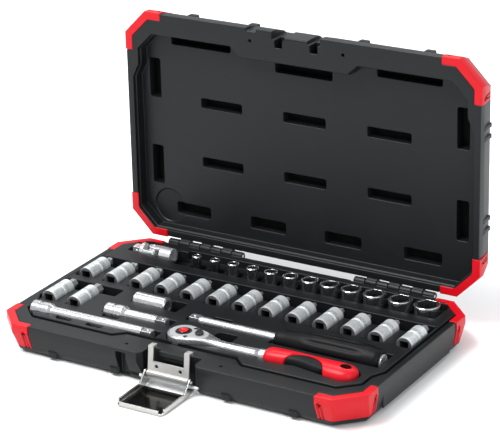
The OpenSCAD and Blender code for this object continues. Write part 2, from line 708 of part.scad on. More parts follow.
// A bit socket along +Y from its drive end at the origin, with its bit pressed in.
module bit_holder() {
    color(satin) difference() {
        union() {
            rod_y([0, 0, 0], bit_body_d / 2, bit_body_l * 0.42);
            rod_y([0, bit_body_l * 0.42, 0], bit_body_d / 2 - 0.5, bit_body_l * 0.12);
            rod_y([0, bit_body_l * 0.54, 0], bit_body_d / 2, bit_body_l * 0.46 - 1);
            translate([0, bit_body_l - 1, 0]) rotate([-90, 0, 0])
                cylinder(d1 = bit_body_d, d2 = bit_body_d - 2, h = 1);
        }
        translate([0, 9, 0]) rotate([90, 0, 0]) linear_extrude(10) square(drive_sq + 0.1, center = true);
        translate([0, bit_body_l - 12, 0]) rotate([-90, 0, 0]) linear_extrude(13) hexagon(shank_flats + 0.02);
    }
}
module bit_shank(tip_l) {
    translate([0, bit_body_l - 11.9, 0]) rotate([-90, 0, 0])
        linear_extrude(11.9 + bit_out - tip_l) hexagon(shank_flats);
}
module at_bit(i) {
    p = i < bit_row_n ? [bit_xs[i], bit_y] : [pair_xs[i - bit_row_n], pair_y];
    translate([p[0], p[1], lie_z]) children();
}
tip_z = bit_body_l + bit_out;   // how far a bit's tip is from its socket's drive end
module slot_bit(i, w) {
    at_bit(i) {
        bit_holder();
        color(satin) {
            bit_shank(4);
            difference() {
                rod_y([0, tip_z - 4, 0], shank_flats / 2, 4);
                for (s = [-1, 1])
                    translate([0, tip_z - 4, s * 3]) rotate([s * 18, 0, 0]) translate([-5, 0, -2]) cube([10, 8, 4]);
                for (s = [-1, 1])
                    translate([s * (w / 2 + 4), tip_z, 0]) cube([8, 6, 10], center = true);
            }
        }
    }
}
module cross_bit(i, w) {
    at_bit(i) {
        bit_holder();
        color(satin) {
            bit_shank(5);
            difference() {
                translate([0, tip_z - 5, 0]) rotate([-90, 0, 0]) cylinder(d1 = shank_flats, d2 = w * 0.5, h = 5);
                for (a = [45 : 90 : 315]) rotate([0, a, 0])
                    translate([w * 0.22, tip_z - 3.4, w * 0.22 - 4]) cube([4, 6, 4]);
            }
        }
    }
}
module star_bit(i, w) {
    at_bit(i) {
        bit_holder();
        color(satin) {
            bit_shank(5);
            translate([0, tip_z - 5 - eps, 0]) rotate([-90, 0, 0]) linear_extrude(5 + eps) union() {
                circle(d = w * 0.76);
                for (a = [0 : 60 : 300]) rotate(a) translate([w * 0.36, 0]) circle(d = w * 0.24, $fn = 24);
            }
        }
    }
}
module hex_bit(i, w) {
    at_bit(i) {
        bit_holder();
        color(satin) {
            if (w < shank_flats) bit_shank(6);
            rotate([-90, 0, 0]) translate([0, 0, w < shank_flats ? tip_z - 6 - eps : bit_body_l + 0.1])
                linear_extrude(w < shank_flats ? 6 + eps : bit_out - 0.1) hexagon(w);
            if (w >= shank_flats) rotate([-90, 0, 0]) translate([0, 0, bit_body_l - 11.9])
                linear_extrude(12.1) hexagon(shank_flats);
        }
    }
}
module bit_slot_4() { slot_bit(0, 4); }
module bit_slot_5_5() { slot_bit(1, 5.5); }
module bit_slot_7() { slot_bit(2, 6.2); }
module bit_cross_1() { cross_bit(3, 4.5); }
module bit_cross_2() { cross_bit(4, 6); }
module bit_cross_3() { cross_bit(5, 7); }
module bit_star_10() { star_bit(6, 2.8); }
module bit_star_15() { star_bit(7, 3.4); }
module bit_star_20() { star_bit(8, 3.9); }
module bit_star_25() { star_bit(9, 4.5); }
module bit_hex_3() { hex_bit(10, 3); }
module bit_hex_4() { hex_bit(11, 4); }
module bit_hex_5() { hex_bit(12, 5); }
module bit_hex_6() { hex_bit(13, 6); }
module bit_hex_7() { hex_bit(14, 7); }

// ---------------------------------------------------------------- small tools
// A male square along +X from x = 0, with its ball's seat; the ball is its own solid.
sq_l = 8;
ball_r = 1.2;
module male_square(l) {
    difference() {
        translate([-eps, -drive_sq / 2, -drive_sq / 2]) cube([l + eps, drive_sq, drive_sq]);
        translate([l - 3.5, 0, drive_sq / 2 - 0.6]) sphere(ball_r + 0.02, $fn = 32);
        for (y = [-1, 1], z = [-1, 1])
            translate([l, y * drive_sq / 2, z * drive_sq / 2]) rotate([0, 45, 0]) cube([1.2, 1.2, 1.2], center = true);
    }
}
module drive_ball(x) { translate([x, 0, drive_sq / 2 - 0.6]) sphere(ball_r, $fn = 32); }

module extension(l) {
    color(steel) {
        difference() {
            union() {
                rod_x([0, 0, 0], drive_end_d / 2, 6);
                rod_x([6 - eps, 0, 0], drive_end_d / 2 - 0.5, 2 + 2 * eps);
                rod_x([8, 0, 0], drive_end_d / 2, 6);
                translate([14 - eps, 0, 0]) rotate([0, 90, 0]) cylinder(d1 = drive_end_d, d2 = bar_d, h = 3.5);
                rod_x([17, 0, 0], bar_d / 2, l - sq_l - 17);
                translate([l - sq_l, 0, 0]) male_square(sq_l);
            }
            translate([-1, 0, 0]) rotate([0, 90, 0]) linear_extrude(10) square(drive_sq + 0.1, center = true);
        }
        drive_ball(l - 3.5);
    }
}
module extension_long() { translate([long_x, long_y, lie_z]) extension(long_l); }
module extension_short() { translate([short_x, short_y, lie_z]) extension(short_l); }

magnet_l = 3;
hex_depth = 13;
module at_adapter() { translate([adapter_x, adapter_y, lie_z]) children(); }
module bit_adapter() {
    color(steel) at_adapter() difference() {
        union() {
            rod_x([0, 0, 0], adapter_d / 2, adapter_l - 1);
            translate([adapter_l - 1 - eps, 0, 0]) rotate([0, 90, 0])
                cylinder(d1 = adapter_d, d2 = adapter_d - 2, h = 1);
        }
        translate([-1, 0, 0]) rotate([0, 90, 0]) linear_extrude(10) square(drive_sq + 0.1, center = true);
        translate([adapter_l - hex_depth, 0, 0]) rotate([0, 90, 0]) linear_extrude(hex_depth + 1)
            hexagon(shank_flats + 0.1);
        rod_x([adapter_l - hex_depth - magnet_l, 0, 0], 2.6, magnet_l + 1);
    }
}
module bit_adapter_magnet() {
    color([0.35, 0.35, 0.37]) at_adapter() rod_x([adapter_l - hex_depth - magnet_l, 0, 0], 2.6, magnet_l);
}

// Universal joint: a fork at each side of a cross, pins turned a quarter apart.
fork_gap = 7;
cross_pin_r = 1.4;
ear_r = 3.1;                    // half width of an ear, and its tip's radius
fork_root = 7.2;                // depth of a fork, from the pin to its floor
module at_uj() { translate([uj_x, uj_y, lie_z]) children(); }
// A fork that opens towards -X, its ears above and below.
module fork(l) {
    r = drive_end_d / 2 - 0.1;
    difference() {
        union() {
            rod_x([fork_root, 0, 0], r, l - fork_root);
            intersection() {
                rod_x([-ear_r, 0, 0], r, l);
                union() {
                    cylinder(r = ear_r, h = drive_end_d, center = true);
                    box([0, -ear_r, -drive_end_d / 2], [fork_root + 1, ear_r, drive_end_d / 2]);
                }
            }
        }
        box([-ear_r - 1, -8, -fork_gap / 2], [fork_root, 8, fork_gap / 2]);
        cylinder(r = cross_pin_r + run_gap, h = 20, center = true);
    }
}
module uj_socket_yoke() {
    color(steel) at_uj() difference() {
        fork(uj_end_l);
        translate([uj_end_l - 8.5, 0, 0]) rotate([0, 90, 0]) linear_extrude(10) square(drive_sq + 0.1, center = true);
    }
}
module uj_drive_yoke() {
    color(steel) at_uj() rotate([90, 0, 0]) mirror([1, 0, 0]) {
        fork(uj_end_l - uj_sq_l);
        translate([uj_end_l - uj_sq_l, 0, 0]) {
            male_square(uj_sq_l);
            drive_ball(uj_sq_l - 3.5);
        }
    }
}
module uj_cross() {
    pin_l = drive_end_d - 2.4;
    color(satin) at_uj() union() {
        cube([5.4, fork_gap - 0.5, fork_gap - 0.5], center = true);
        cylinder(r = cross_pin_r, h = pin_l, center = true);
        rotate([90, 0, 0]) cylinder(r = cross_pin_r, h = pin_l, center = true);
    }
}

// ---------------------------------------------------------------- ratchet
cavity_r = 7.6;
shank_r = 4.3;
cover_t = 1.3;
cover_r = head_r - 1.6;
gear_r = 7;
pawl_r = 5.3;
button_r = 3.7;
reverse_x = 12.6;
reverse_r = 2.1;
gear_h = head_t - cover_t - 2.2;
gear_z = -head_t / 2 + 2;
screw_at = [for (s = [-1, 1]) [5.6, s * 6.9]];
module at_ratchet() { translate([ratchet_x, ratchet_y, ratchet_z]) children(); }

neck_r = 7.2;
// Outline of the head, neck and shank, seen from above.
module head_outline() {
    hull() {
        circle(head_r);
        translate([reverse_x, 0]) circle(neck_r);
    }
    hull() {
        translate([reverse_x, 0]) circle(neck_r);
        translate([26, 0]) circle(shank_r);
    }
}
// What the cover hides: a flat recess with the head's own shape.
module cover_outline(g) {
    hull() {
        circle(cover_r + g);
        translate([reverse_x + 0.5, 0]) circle(neck_r - 1 + g);
    }
}
module ratchet_body() {
    color(satin) at_ratchet() difference() {
        union() {
            translate([0, 0, -head_t / 2]) linear_extrude(head_t) head_outline();
            rod_x([20, 0, 0], shank_r, grip_start - 20);
            rod_x([grip_start - eps, 0, 0], core_r, ratchet_l - grip_start - 24);
        }
        translate([0, 0, head_t / 2 - cover_t]) linear_extrude(cover_t + 1) cover_outline(0.02);
        translate([0, 0, gear_z - 0.1]) cylinder(r = cavity_r, h = head_t);
        translate([reverse_x, 0, gear_z - 0.1]) cylinder(r = pawl_r + 0.2, h = head_t);
        box([0, -3.2, gear_z - 0.1], [reverse_x, 3.2, head_t / 2]);
        cylinder(r = drive_stem_r + run_gap, h = 2 * head_t, center = true);
        for (p = screw_at) translate([p[0], p[1], gear_z + 1]) cylinder(r = 0.9, h = head_t);
    }
}
drive_stem_r = 5.4;
module ratchet_cover() {
    color(satin) at_ratchet() difference() {
        translate([0, 0, head_t / 2 - cover_t]) linear_extrude(cover_t) cover_outline(0);
        cylinder(r = button_seat_r + run_gap, h = head_t);
        translate([reverse_x, 0, 0]) cylinder(r = reverse_r + run_gap, h = head_t);
        for (p = screw_at) translate([p[0], p[1], 0]) cylinder(r = 1.2, h = head_t);
    }
}
module ratchet_screws() {
    color([0.15, 0.15, 0.16]) at_ratchet() for (p = screw_at) translate([p[0], p[1], 0]) difference() {
        union() {
            translate([0, 0, gear_z + 1.2]) cylinder(r = 0.88, h = head_t / 2 - gear_z - 1.4);
            translate([0, 0, head_t / 2 - 0.9]) cylinder(r = 1.18, h = 0.85);
        }
        translate([0, 0, head_t / 2 - 0.4]) cube([0.5, 3, 0.5], center = true);
    }
}
button_seat_r = 5.3;
module ratchet_drive_wheel() {
    color([0.2, 0.2, 0.22]) at_ratchet() difference() {
        union() {
            translate([0, 0, gear_z]) linear_extrude(gear_h) difference() {
                circle(gear_r);
                for (i = [0 : gear_teeth - 1]) rotate(i * 360 / gear_teeth)
                    translate([gear_r, 0]) rotate(45) square(0.55, center = true);
            }
            translate([0, 0, gear_z + gear_h - eps]) cylinder(r = button_seat_r, h = head_t / 2 - gear_z - gear_h);
            translate([0, 0, -head_t / 2]) cylinder(r = drive_stem_r, h = 3);
            translate([-drive_sq / 2, -drive_sq / 2, -head_t / 2 - sq_l])
                cube([drive_sq, drive_sq, sq_l + 1]);
        }
        translate([0, 0, gear_z + 2]) cylinder(r = button_r + 0.08, h = head_t);
        translate([0, 0, -head_t / 2 - sq_l + 2.5]) cylinder(r = 1.3, h = head_t);
        translate([drive_sq / 2 - 0.6, 0, -head_t / 2 - sq_l + 3.5]) sphere(ball_r + 0.02, $fn = 32);
    }
    color(steel) at_ratchet() translate([drive_sq / 2 - 0.6, 0, -head_t / 2 - sq_l + 3.5])
        sphere(ball_r, $fn = 32);
}
spring_l = 3.4;
button_top = head_t / 2 + 1.2;
module ratchet_release_button() {
    color(red) at_ratchet() difference() {
        union() {
            translate([0, 0, gear_z + 2 + spring_l]) cylinder(r = button_r, h = button_top - gear_z - 3 - spring_l);
            translate([0, 0, button_top - 1 - eps]) cylinder(r1 = button_r, r2 = button_r - 0.9, h = 1);
        }
        translate([0, 0, button_top + 5.2]) sphere(6, $fn = 64);
    }
}
// Coil spring under the button, drawn as the sleeve that it fills.
module ratchet_button_spring() {
    color(satin) at_ratchet() translate([0, 0, gear_z + 2]) difference() {
        cylinder(r = 3.1, h = spring_l);
        translate([0, 0, -1]) cylinder(r = 2.2, h = spring_l + 2);
    }
}
module ratchet_reverse_lever() {
    color([0.16, 0.16, 0.17]) at_ratchet() translate([reverse_x, 0, 0]) {
        translate([0, 0, gear_z + 0.1]) cylinder(r = reverse_r, h = head_t / 2 - gear_z + 0.2);
        translate([0, 0, head_t / 2 + 0.2]) rotate(lever_turn) linear_extrude(1.6) hull() {
            circle(2.9);
            translate([4.6, 0]) circle(1.3);
        }
    }
}
lever_turn = 116;
module ratchet_pawl() {
    color(satin) at_ratchet() translate([reverse_x, 0, gear_z + 0.1]) difference() {
        cylinder(r = pawl_r, h = gear_h - 0.4);
        translate([0, 0, -1]) cylinder(r = reverse_r + 0.01, h = gear_h + 2);
        box([2.9, -pawl_r, -1], [pawl_r + 1, pawl_r, gear_h]);
        for (s = [-1, 1]) translate([-pawl_r, s * 2.2, -1]) rotate(45) cube([0.6, 0.6, gear_h + 1]);
    }
}

// Grip: a curved handle that swells towards its end.
grip_t = 15;                    // its thickness
end_r = grip_w / 2;
grip_end = ratchet_l - end_r;
module grip_outline() {
    hull() {
        translate([grip_start + 7, 0.5]) circle(7.4);
        translate([grip_start + 24, 2]) circle(6.2);
    }
    hull() {
        translate([grip_start + 24, 2]) circle(6.2);
        translate([grip_end, -1]) circle(end_r);
    }
}
hang_x = grip_end + 3;
module grip_solid(shrink) {
    intersection() {
        translate([0, 0, -grip_t / 2]) linear_extrude(grip_t) offset(delta = -shrink) grip_outline();
        for (s = [-1, 1]) rod_x([grip_start - 4, s * 3, 0], grip_t / 2 - shrink, grip_w + grip_end);
    }
}
// A dark inlay fills a round hollow in the grip's front side, a little below the red.
inlay_at = [grip_start + 31, -16.5];
inlay_r = 18.5;
inlay_sink = 0.5;
core_r = 3.4;
module grip_core_hole() {
    rod_x([grip_start - 5, 0, 0], core_r + 0.01, ratchet_l - grip_start - 19);
}
module inlay_hollow() { translate([inlay_at[0], inlay_at[1], -grip_t]) cylinder(r = inlay_r, h = 2 * grip_t); }
module ratchet_grip() {
    color(red) at_ratchet() difference() {
        grip_solid(0);
        inlay_hollow();
        grip_core_hole();
        rod_x([grip_start - 5, 0, 0], shank_r + 0.05, 5);
        translate([hang_x, 0, 0]) cylinder(r = 2.6, h = 40, center = true);
    }
}
module ratchet_grip_inlay() {
    color(black) at_ratchet() difference() {
        intersection() {
            inlay_hollow();
            grip_solid(inlay_sink);
        }
        grip_core_hole();
    }
}

// ---------------------------------------------------------------- spinner handle
insert_l = 14;
insert_d = 11;
module at_spinner() { translate([spinner_x, spinner_y, lie_z]) children(); }
module spinner_shaft() {
    color(steel) at_spinner() {
        difference() {
            union() {
                rod_x([sq_l, 0, 0], bar_d / 2 - 0.8, spinner_shaft_l - sq_l);
                rod_x([spinner_shaft_l - eps, 0, 0], 3, spinner_grip_l - insert_l - 8);
                translate([sq_l, 0, 0]) mirror([1, 0, 0]) male_square(sq_l);
            }
        }
        drive_ball(3.5);
    }
}
module spinner_grip() {
    l = spinner_grip_l;
    r = spinner_r;
    color(black) at_spinner() difference() {
        translate([spinner_shaft_l, 0, 0]) rotate([0, 90, 0]) rotate_extrude() polygon([
            [0, 0], [5.6, 0], [6.6, 1.6], [6.8, 8], [r - 1.6, 20], [r, 30], [r, l - 26],
            [r - 1.4, l - 12], [r - 2.4, l - 3], [r - 3.6, l - 0.4], [r - 4.4, l], [0, l]]);
        rod_x([spinner_shaft_l - 1, 0, 0], 3.01, spinner_grip_l - insert_l - 6);
        rod_x([spinner_shaft_l + l - insert_l, 0, 0], insert_d / 2 + 0.01, insert_l + 1);
        for (a = [0 : 45 : 315]) rotate([a, 0, 0])
            rod_x([spinner_shaft_l + 26, 0, r + 2.2], 3.2, l - 44);
    }
}
module spinner_insert() {
    color(steel) at_spinner() difference() {
        rod_x([spinner_shaft_l + spinner_grip_l - insert_l, 0, 0], insert_d / 2, insert_l + 1);
        translate([spinner_shaft_l + spinner_grip_l - 9, 0, 0]) rotate([0, 90, 0]) linear_extrude(12)
            square(drive_sq + 0.1, center = true);
    }
}

base_shell();
lid_shell();
base_corner_caps();
lid_corner_caps();
hinge_pins();
latch_lever();
latch_link();
latch_lever_pin();
latch_link_pin();
socket_4();
socket_4_5();
socket_5();
socket_5_5();
socket_6();
socket_7();
socket_8();
socket_9();
socket_10();
socket_11();
socket_12();
socket_13();
bit_slot_4();
bit_slot_5_5();
bit_slot_7();
bit_cross_1();
bit_cross_2();
bit_cross_3();
bit_star_10();
bit_star_15();
bit_star_20();
bit_star_25();
bit_hex_3();
bit_hex_4();
bit_hex_5();
bit_hex_6();
bit_hex_7();
bit_adapter();
bit_adapter_magnet();
extension_long();
extension_short();
uj_socket_yoke();
uj_cross();
uj_drive_yoke();
ratchet_body();
ratchet_cover();
ratchet_screws();
ratchet_drive_wheel();
ratchet_release_button();
ratchet_button_spring();
ratchet_reverse_lever();
ratchet_pawl();
ratchet_grip();
ratchet_grip_inlay();
spinner_shaft();
spinner_grip();
spinner_insert();
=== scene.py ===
import json
import math

import bmesh
import bpy
from mathutils import Matrix, Vector
from mathutils.bvhtree import BVHTree


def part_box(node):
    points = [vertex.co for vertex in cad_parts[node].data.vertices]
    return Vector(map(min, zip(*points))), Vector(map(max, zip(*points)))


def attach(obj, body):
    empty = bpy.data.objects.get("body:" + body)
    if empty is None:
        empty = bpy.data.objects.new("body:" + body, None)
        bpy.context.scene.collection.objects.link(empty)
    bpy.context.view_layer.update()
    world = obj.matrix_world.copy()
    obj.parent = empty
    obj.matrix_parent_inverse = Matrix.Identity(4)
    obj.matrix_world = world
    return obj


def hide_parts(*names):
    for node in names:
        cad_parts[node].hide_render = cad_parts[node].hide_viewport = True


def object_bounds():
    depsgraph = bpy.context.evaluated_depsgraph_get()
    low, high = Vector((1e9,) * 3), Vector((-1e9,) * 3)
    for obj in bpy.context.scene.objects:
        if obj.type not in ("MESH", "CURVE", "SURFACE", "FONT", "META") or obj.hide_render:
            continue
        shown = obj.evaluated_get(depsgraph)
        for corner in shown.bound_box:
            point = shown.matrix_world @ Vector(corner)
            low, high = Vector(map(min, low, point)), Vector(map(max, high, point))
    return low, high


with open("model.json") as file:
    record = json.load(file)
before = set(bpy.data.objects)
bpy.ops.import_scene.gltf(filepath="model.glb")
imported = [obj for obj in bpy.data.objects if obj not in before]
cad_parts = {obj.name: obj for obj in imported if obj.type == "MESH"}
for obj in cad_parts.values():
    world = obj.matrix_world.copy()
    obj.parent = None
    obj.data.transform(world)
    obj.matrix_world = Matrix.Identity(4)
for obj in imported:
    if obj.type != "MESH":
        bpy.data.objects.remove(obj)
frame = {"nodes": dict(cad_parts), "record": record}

CAD_LOW, CAD_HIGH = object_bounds()

bl_info = {
    "name": "Socket wrench set in case",
    "version": (1, 0, 0),
    "blender": (4, 5, 0),
    "location": "3D View > Sidebar > Tool Case",
    "description": "Finishes a packed socket wrench set: case, caps, latch, sockets, bits and handles",
    "category": "Object",
}

MM = 0.001
WELD = 0.004 * MM            # points nearer than this are one point
RIM = 23.4 * MM              # height of the base's rim
HINGE = Vector((0, 89.9, 22.5)) * MM
OPENED = math.radians(91.2)  # how far the lid stands open
BODY_OF = {node: body for body, nodes in frame["record"]["behaviour"]["bodies"].items() for node in nodes}
SLOT_OF = {part["node"]: part["material_slot"] for part in frame["record"]["subparts"]}
SOCKETS = [n for n in SLOT_OF if n.startswith("socket_")]
BITS = [n for n in SLOT_OF if n.startswith("bit_") and not n.startswith("bit_adapter")]


# ---------------------------------------------------------------- shader maths
class Wire:
    """A shader socket that can be used in arithmetic; each operation adds a Math node."""

    def __init__(self, tree, socket):
        self.tree = tree
        self.socket = socket

    def math(self, operation, *values):
        node = self.tree.nodes.new("ShaderNodeMath")
        node.operation = operation
        for place, value in zip(node.inputs, values):
            connect(self.tree, place, value)
        return Wire(self.tree, node.outputs[0])

    def __add__(self, other):
        return self.math("ADD", self, other)

    __radd__ = __add__

    def __sub__(self, other):
        return self.math("SUBTRACT", self, other)

    def __rsub__(self, other):
        return self.math("SUBTRACT", other, self)

    def __mul__(self, other):
        return self.math("MULTIPLY", self, other)

    __rmul__ = __mul__

    def __truediv__(self, other):
        return self.math("DIVIDE", self, other)

    def __abs__(self):
        return self.math("ABSOLUTE", self)

    def step(self, low, high):
        """0 below low, 1 above high, and smooth between them."""
        node = self.tree.nodes.new("ShaderNodeMapRange")
        node.interpolation_type = "SMOOTHSTEP"
        for place, value in zip(node.inputs, (self, low, high, 0.0, 1.0)):
            connect(self.tree, place, value)
        return Wire(self.tree, node.outputs[0])


def connect(tree, place, value):
    """Feeds a value or a wire to a node's input."""
    if isinstance(value, Wire):
        tree.links.new(value.socket, place)
    elif hasattr(place.default_value, "__len__") and not hasattr(value, "__len__"):
        place.default_value = [value] * len(place.default_value)
    else:
        place.default_value = value


class Finish:
    """A material in the making: its node tree and its Principled shader."""

    def __init__(self, name, **constants):
        self.material = bpy.data.materials.new(name)
        self.material.use_nodes = True
        self.tree = self.material.node_tree
        self.shader = self.tree.nodes["Principled BSDF"]
        self.place = self.node("ShaderNodeTexCoord", out="Object")
        for socket, value in constants.items():
            self.set(socket.replace("_", " "), value)

    def node(self, kind, settings=None, inputs=None, out=0):
        made = self.tree.nodes.new(kind)
        for key, value in (settings or {}).items():
            if key == "stops":
                for i, (at, colour) in enumerate(value):
                    stop = made.color_ramp.elements[i] if i < 2 else made.color_ramp.elements.new(at)
                    stop.position, stop.color = at, (*colour, 1.0)
            else:
                setattr(made, key, value)
        for key, value in (inputs or {}).items():
            connect(self.tree, made.inputs[key], value)
        return Wire(self.tree, made.outputs[out])

    def set(self, socket, value):
        connect(self.tree, self.shader.inputs[socket], value)

    def noise(self, scale, detail=3.0, roughness=0.55, stretch=(1, 1, 1)):
        """Noise on the piece's own coordinates; scale is in waves to the metre."""
        vector = self.node("ShaderNodeMapping", inputs={"Vector": self.place, "Scale": stretch})
        return self.node("ShaderNodeTexNoise",
                         inputs={"Vector": vector, "Scale": scale, "Detail": detail, "Roughness": roughness})

    def axis(self, name):
        return self.node("ShaderNodeSeparateXYZ", inputs={0: self.place}, out=name)

    def mix(self, factor, low, high):
        """A colour between two colours."""
        shade = lambda c: c if isinstance(c, Wire) else (*c, 1.0)
        return self.node("ShaderNodeMix", {"data_type": "RGBA"}, {0: factor, 6: shade(low), 7: shade(high)}, out=2)

    def bump(self, height, strength, distance):
        self.set("Normal", self.node("ShaderNodeBump",
                                     inputs={"Strength": strength, "Distance": distance, "Height": height}))

    def discs(self, rows):
        """1 inside upright discs, each given by its middle and radius, and 0 outside them."""
        inside = 0.0
        for at, radius in rows:
            across, along = self.axis("X") - at.x, self.axis("Y") - at.y
            square = across * across + along * along
            inside = (1 - square.math("SQRT", square).step(radius - 0.05 * MM, radius + 0.05 * MM)) + inside
        return inside.math("MINIMUM", inside, 1.0)


def tone(colour, factor):
    return tuple(min(1.0, c * factor) for c in colour)


def make_plastic(name, colour, roughness, grain, grain_depth, scuff, gloss=0.5, recess=False, disc=None):
    """Moulded plastic: drifting shade, fine mould grain, a little scuffing, and painted shade that darkens deep
    recesses.
    disc is the middle and radius of the part that keeps its colour, where the rest is dark."""
    made = Finish(name, Specular_IOR_Level=gloss)
    drift = made.noise(28, 2)
    grain_noise = made.noise(grain, 2, 0.5)
    scratch = made.noise(90, 4, 0.7, (1, 5, 1)).step(0.62, 0.74)
    shade = made.mix(drift * 0.7 + scratch * scuff, tone(colour, 0.86), tone(colour, 1.22))
    rough = roughness - 0.07 + drift * 0.12 + scratch * 0.08
    if recess:
        # Painted shade: points that lie deep in recesses get a near-black colour.
        depth = made.node("ShaderNodeAttribute", {"attribute_name": "recess"}, out="Fac")
        shade = made.mix(depth, shade, tone(colour, 0.06))
        rough = rough + depth * 0.5
    if disc:
        shade = made.mix(1 - made.discs([disc]), shade, tone(colour, 0.03))
    made.set("Base Color", shade)
    made.set("Roughness", rough)
    made.bump(grain_noise + scratch * 0.3, 0.35, grain_depth)
    return made.material


def make_plate(name, colour, roughness, spread, grain, grain_depth, stretch=(1, 1, 1), metal=0.8, highlight_gain=0.0):
    """Plated or ground steel: cloudy gloss with fine lines or blasting. The highlight gain lightens the points that
    the highlight attribute marks, a painted highlight, and the stored shade share darkens deep points, a painted
    shade.
    """
    made = Finish(name, Metallic=metal)
    cloud = made.noise(75, 3, 0.6)
    fine = made.noise(grain, 2, 0.6, stretch)
    shade = made.mix(cloud, tone(colour, 0.9), tone(colour, 1.06))
    if highlight_gain:
        # Painted highlight: the marked points, the socket rims, are lightened.
        painted_highlight = made.node("ShaderNodeAttribute", {"attribute_name": "painted_highlight"}, out="Fac")
        shade = made.mix(painted_highlight, shade, tone(colour, highlight_gain))
    # Painted shade: points deep in bores and hollows are darkened.
    depth = made.node("ShaderNodeAttribute", {"attribute_name": "recess"}, out="Fac")
    made.set("Base Color", made.mix(depth, shade, tone(colour, 0.12)))
    made.set("Roughness", roughness + cloud * spread + fine * spread * 0.5)
    made.bump(fine, 0.25, grain_depth)
    return made.material


def make_bit_steel(name, holder, shank, along, starts):
    """Bit sockets: a satin plated holder with an etched band, and a darker hardened bit past its end."""
    made = Finish(name, Metallic=0.5)
    y = made.axis("Y")
    cloud = made.noise(160, 3, 0.6)
    fine = made.noise(2600, 2, 0.6, along)
    etch = made.noise(900, 1, 0.5).step(0.46, 0.56)

    def stretch_of(start, first, last):
        return y.step(start + first - 0.0001, start + first + 0.0001) * \
            (1 - y.step(start + last - 0.0001, start + last + 0.0001))

    hardened, wide_band, narrow_band = (23.2 * MM, 36 * MM), (2.2 * MM, 11.5 * MM), (13.6 * MM, 17 * MM)
    bit, band = 0.0, 0.0
    for start in starts:
        bit = stretch_of(start, *hardened) + bit
        band = stretch_of(start, *wide_band) * 0.55 + stretch_of(start, *narrow_band) + band
    plated = made.mix(cloud, tone(holder, 0.82), holder)
    plated = made.mix(band * (0.25 + etch * 0.55), plated, tone(holder, 0.42))
    # Painted shade: points marked as deep are darkened almost to black.
    depth = made.node("ShaderNodeAttribute", {"attribute_name": "recess"}, out="Fac")
    made.set("Base Color", made.mix(depth, made.mix(bit, plated, shank), tone(holder, 0.06)))
    made.set("Roughness", 0.34 + cloud * 0.16 + bit * 0.04)
    made.bump(fine, 0.3, 0.00002)
    return made.material


def make_cover(name, plate, dark):
    """The ratchet's cover: satin plate with the gaps around the button painted dark and painted shadow rings around
    the screws.
    """
    made = Finish(name, Metallic=0.45)
    cloud = made.noise(75, 3, 0.6)
    shade = made.mix(cloud, tone(plate, 0.9), tone(plate, 1.06))
    button_low, button_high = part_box("ratchet_release_button")
    screws = [v.co for v in frame["nodes"]["ratchet_screws"].data.vertices]
    middle_y = sum(v.y for v in screws) / len(screws)
    rings = [((button_low + button_high) / 2, (button_high.x - button_low.x) / 2 + 2.1 * MM)]
    # Painted shadow: a dark ring round the screws on each side.
    for side in (-1, 1):
        own = [v for v in screws if (v.y - middle_y) * side > 0]
        low = Vector((min(v.x for v in own), min(v.y for v in own), 0))
        high = Vector((max(v.x for v in own), max(v.y for v in own), 0))
        rings.append(((low + high) / 2, (high.x - low.x) / 2 + 0.45 * MM))
    # The rings are painted near black; round the screws this is painted shadow.
    made.set("Base Color", made.mix(made.discs(rings), shade, tone(dark, 0.1)))
    made.set("Roughness", 0.26 + cloud * 0.14)
    made.bump(made.noise(2400, 2, 0.6), 0.25, 0.00001)
    return made.material


# ---------------------------------------------------------------- meshes
def merged_copy(node):
    """The CAD node's shape as one welded mesh."""
    mesh = frame["nodes"][node].data.copy()
    mesh.name = node + "_finished"
    work = bmesh.new()
    work.from_mesh(mesh)
    bmesh.ops.remove_doubles(work, verts=work.verts, dist=WELD)
    bmesh.ops.dissolve_degenerate(work, edges=work.edges, dist=WELD)
    for layer in list(work.loops.layers.float_vector.values()):
        if "normal" in layer.name:
            work.loops.layers.float_vector.remove(layer)
    clean = bpy.data.meshes.new(mesh.name)
    work.to_mesh(clean)
    work.free()
    bpy.data.meshes.remove(mesh)
    return clean


def bake(piece):
    """Turns a piece with modifiers into a plain mesh that keeps its shading."""
    depsgraph = bpy.context.evaluated_depsgraph_get()
    mesh = bpy.data.meshes.new_from_object(piece.evaluated_get(depsgraph))
    piece.modifiers.clear()
    piece.data = mesh
    return piece


def new_piece(name, mesh, finish):
    piece = bpy.data.objects.new(name, mesh)
    bpy.context.scene.collection.objects.link(piece)
    mesh.materials.clear()
    mesh.materials.append(finish)
    return piece


def settle(piece, *nodes):
    """Puts a finished piece on the body of the nodes that it stands for, and keeps it in their box."""
    boxes = [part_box(node) for node in nodes]
    low = [min(box[0][i] for box in boxes) for i in range(3)]
    high = [max(box[1][i] for box in boxes) for i in range(3)]
    for vertex in piece.data.vertices:
        vertex.co = [min(max(c, a), b) for c, a, b in zip(vertex.co, low, high)]
    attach(piece, BODY_OF[nodes[0]])
    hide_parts(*nodes)
    return piece


def mark(mesh, share_of, name="recess"):
    """Stores a share from 0 to 1 on each point: by default, how much painted shade it gets for lying deep in a hollow.
    """
    layer = mesh.attributes.new(name, "FLOAT", "POINT")
    layer.data.foreach_set("value", [min(1.0, max(0.0, share_of(v.co / MM))) for v in mesh.vertices])


def rounded(node, finish, width, segments=2):
    """A CAD node's shape with its edges rounded over, standing for the node."""
    piece = new_piece(node + "_finished", merged_copy(node), finish)
    piece.data.shade_smooth()
    soften(piece, width, segments)
    return settle(piece, node)


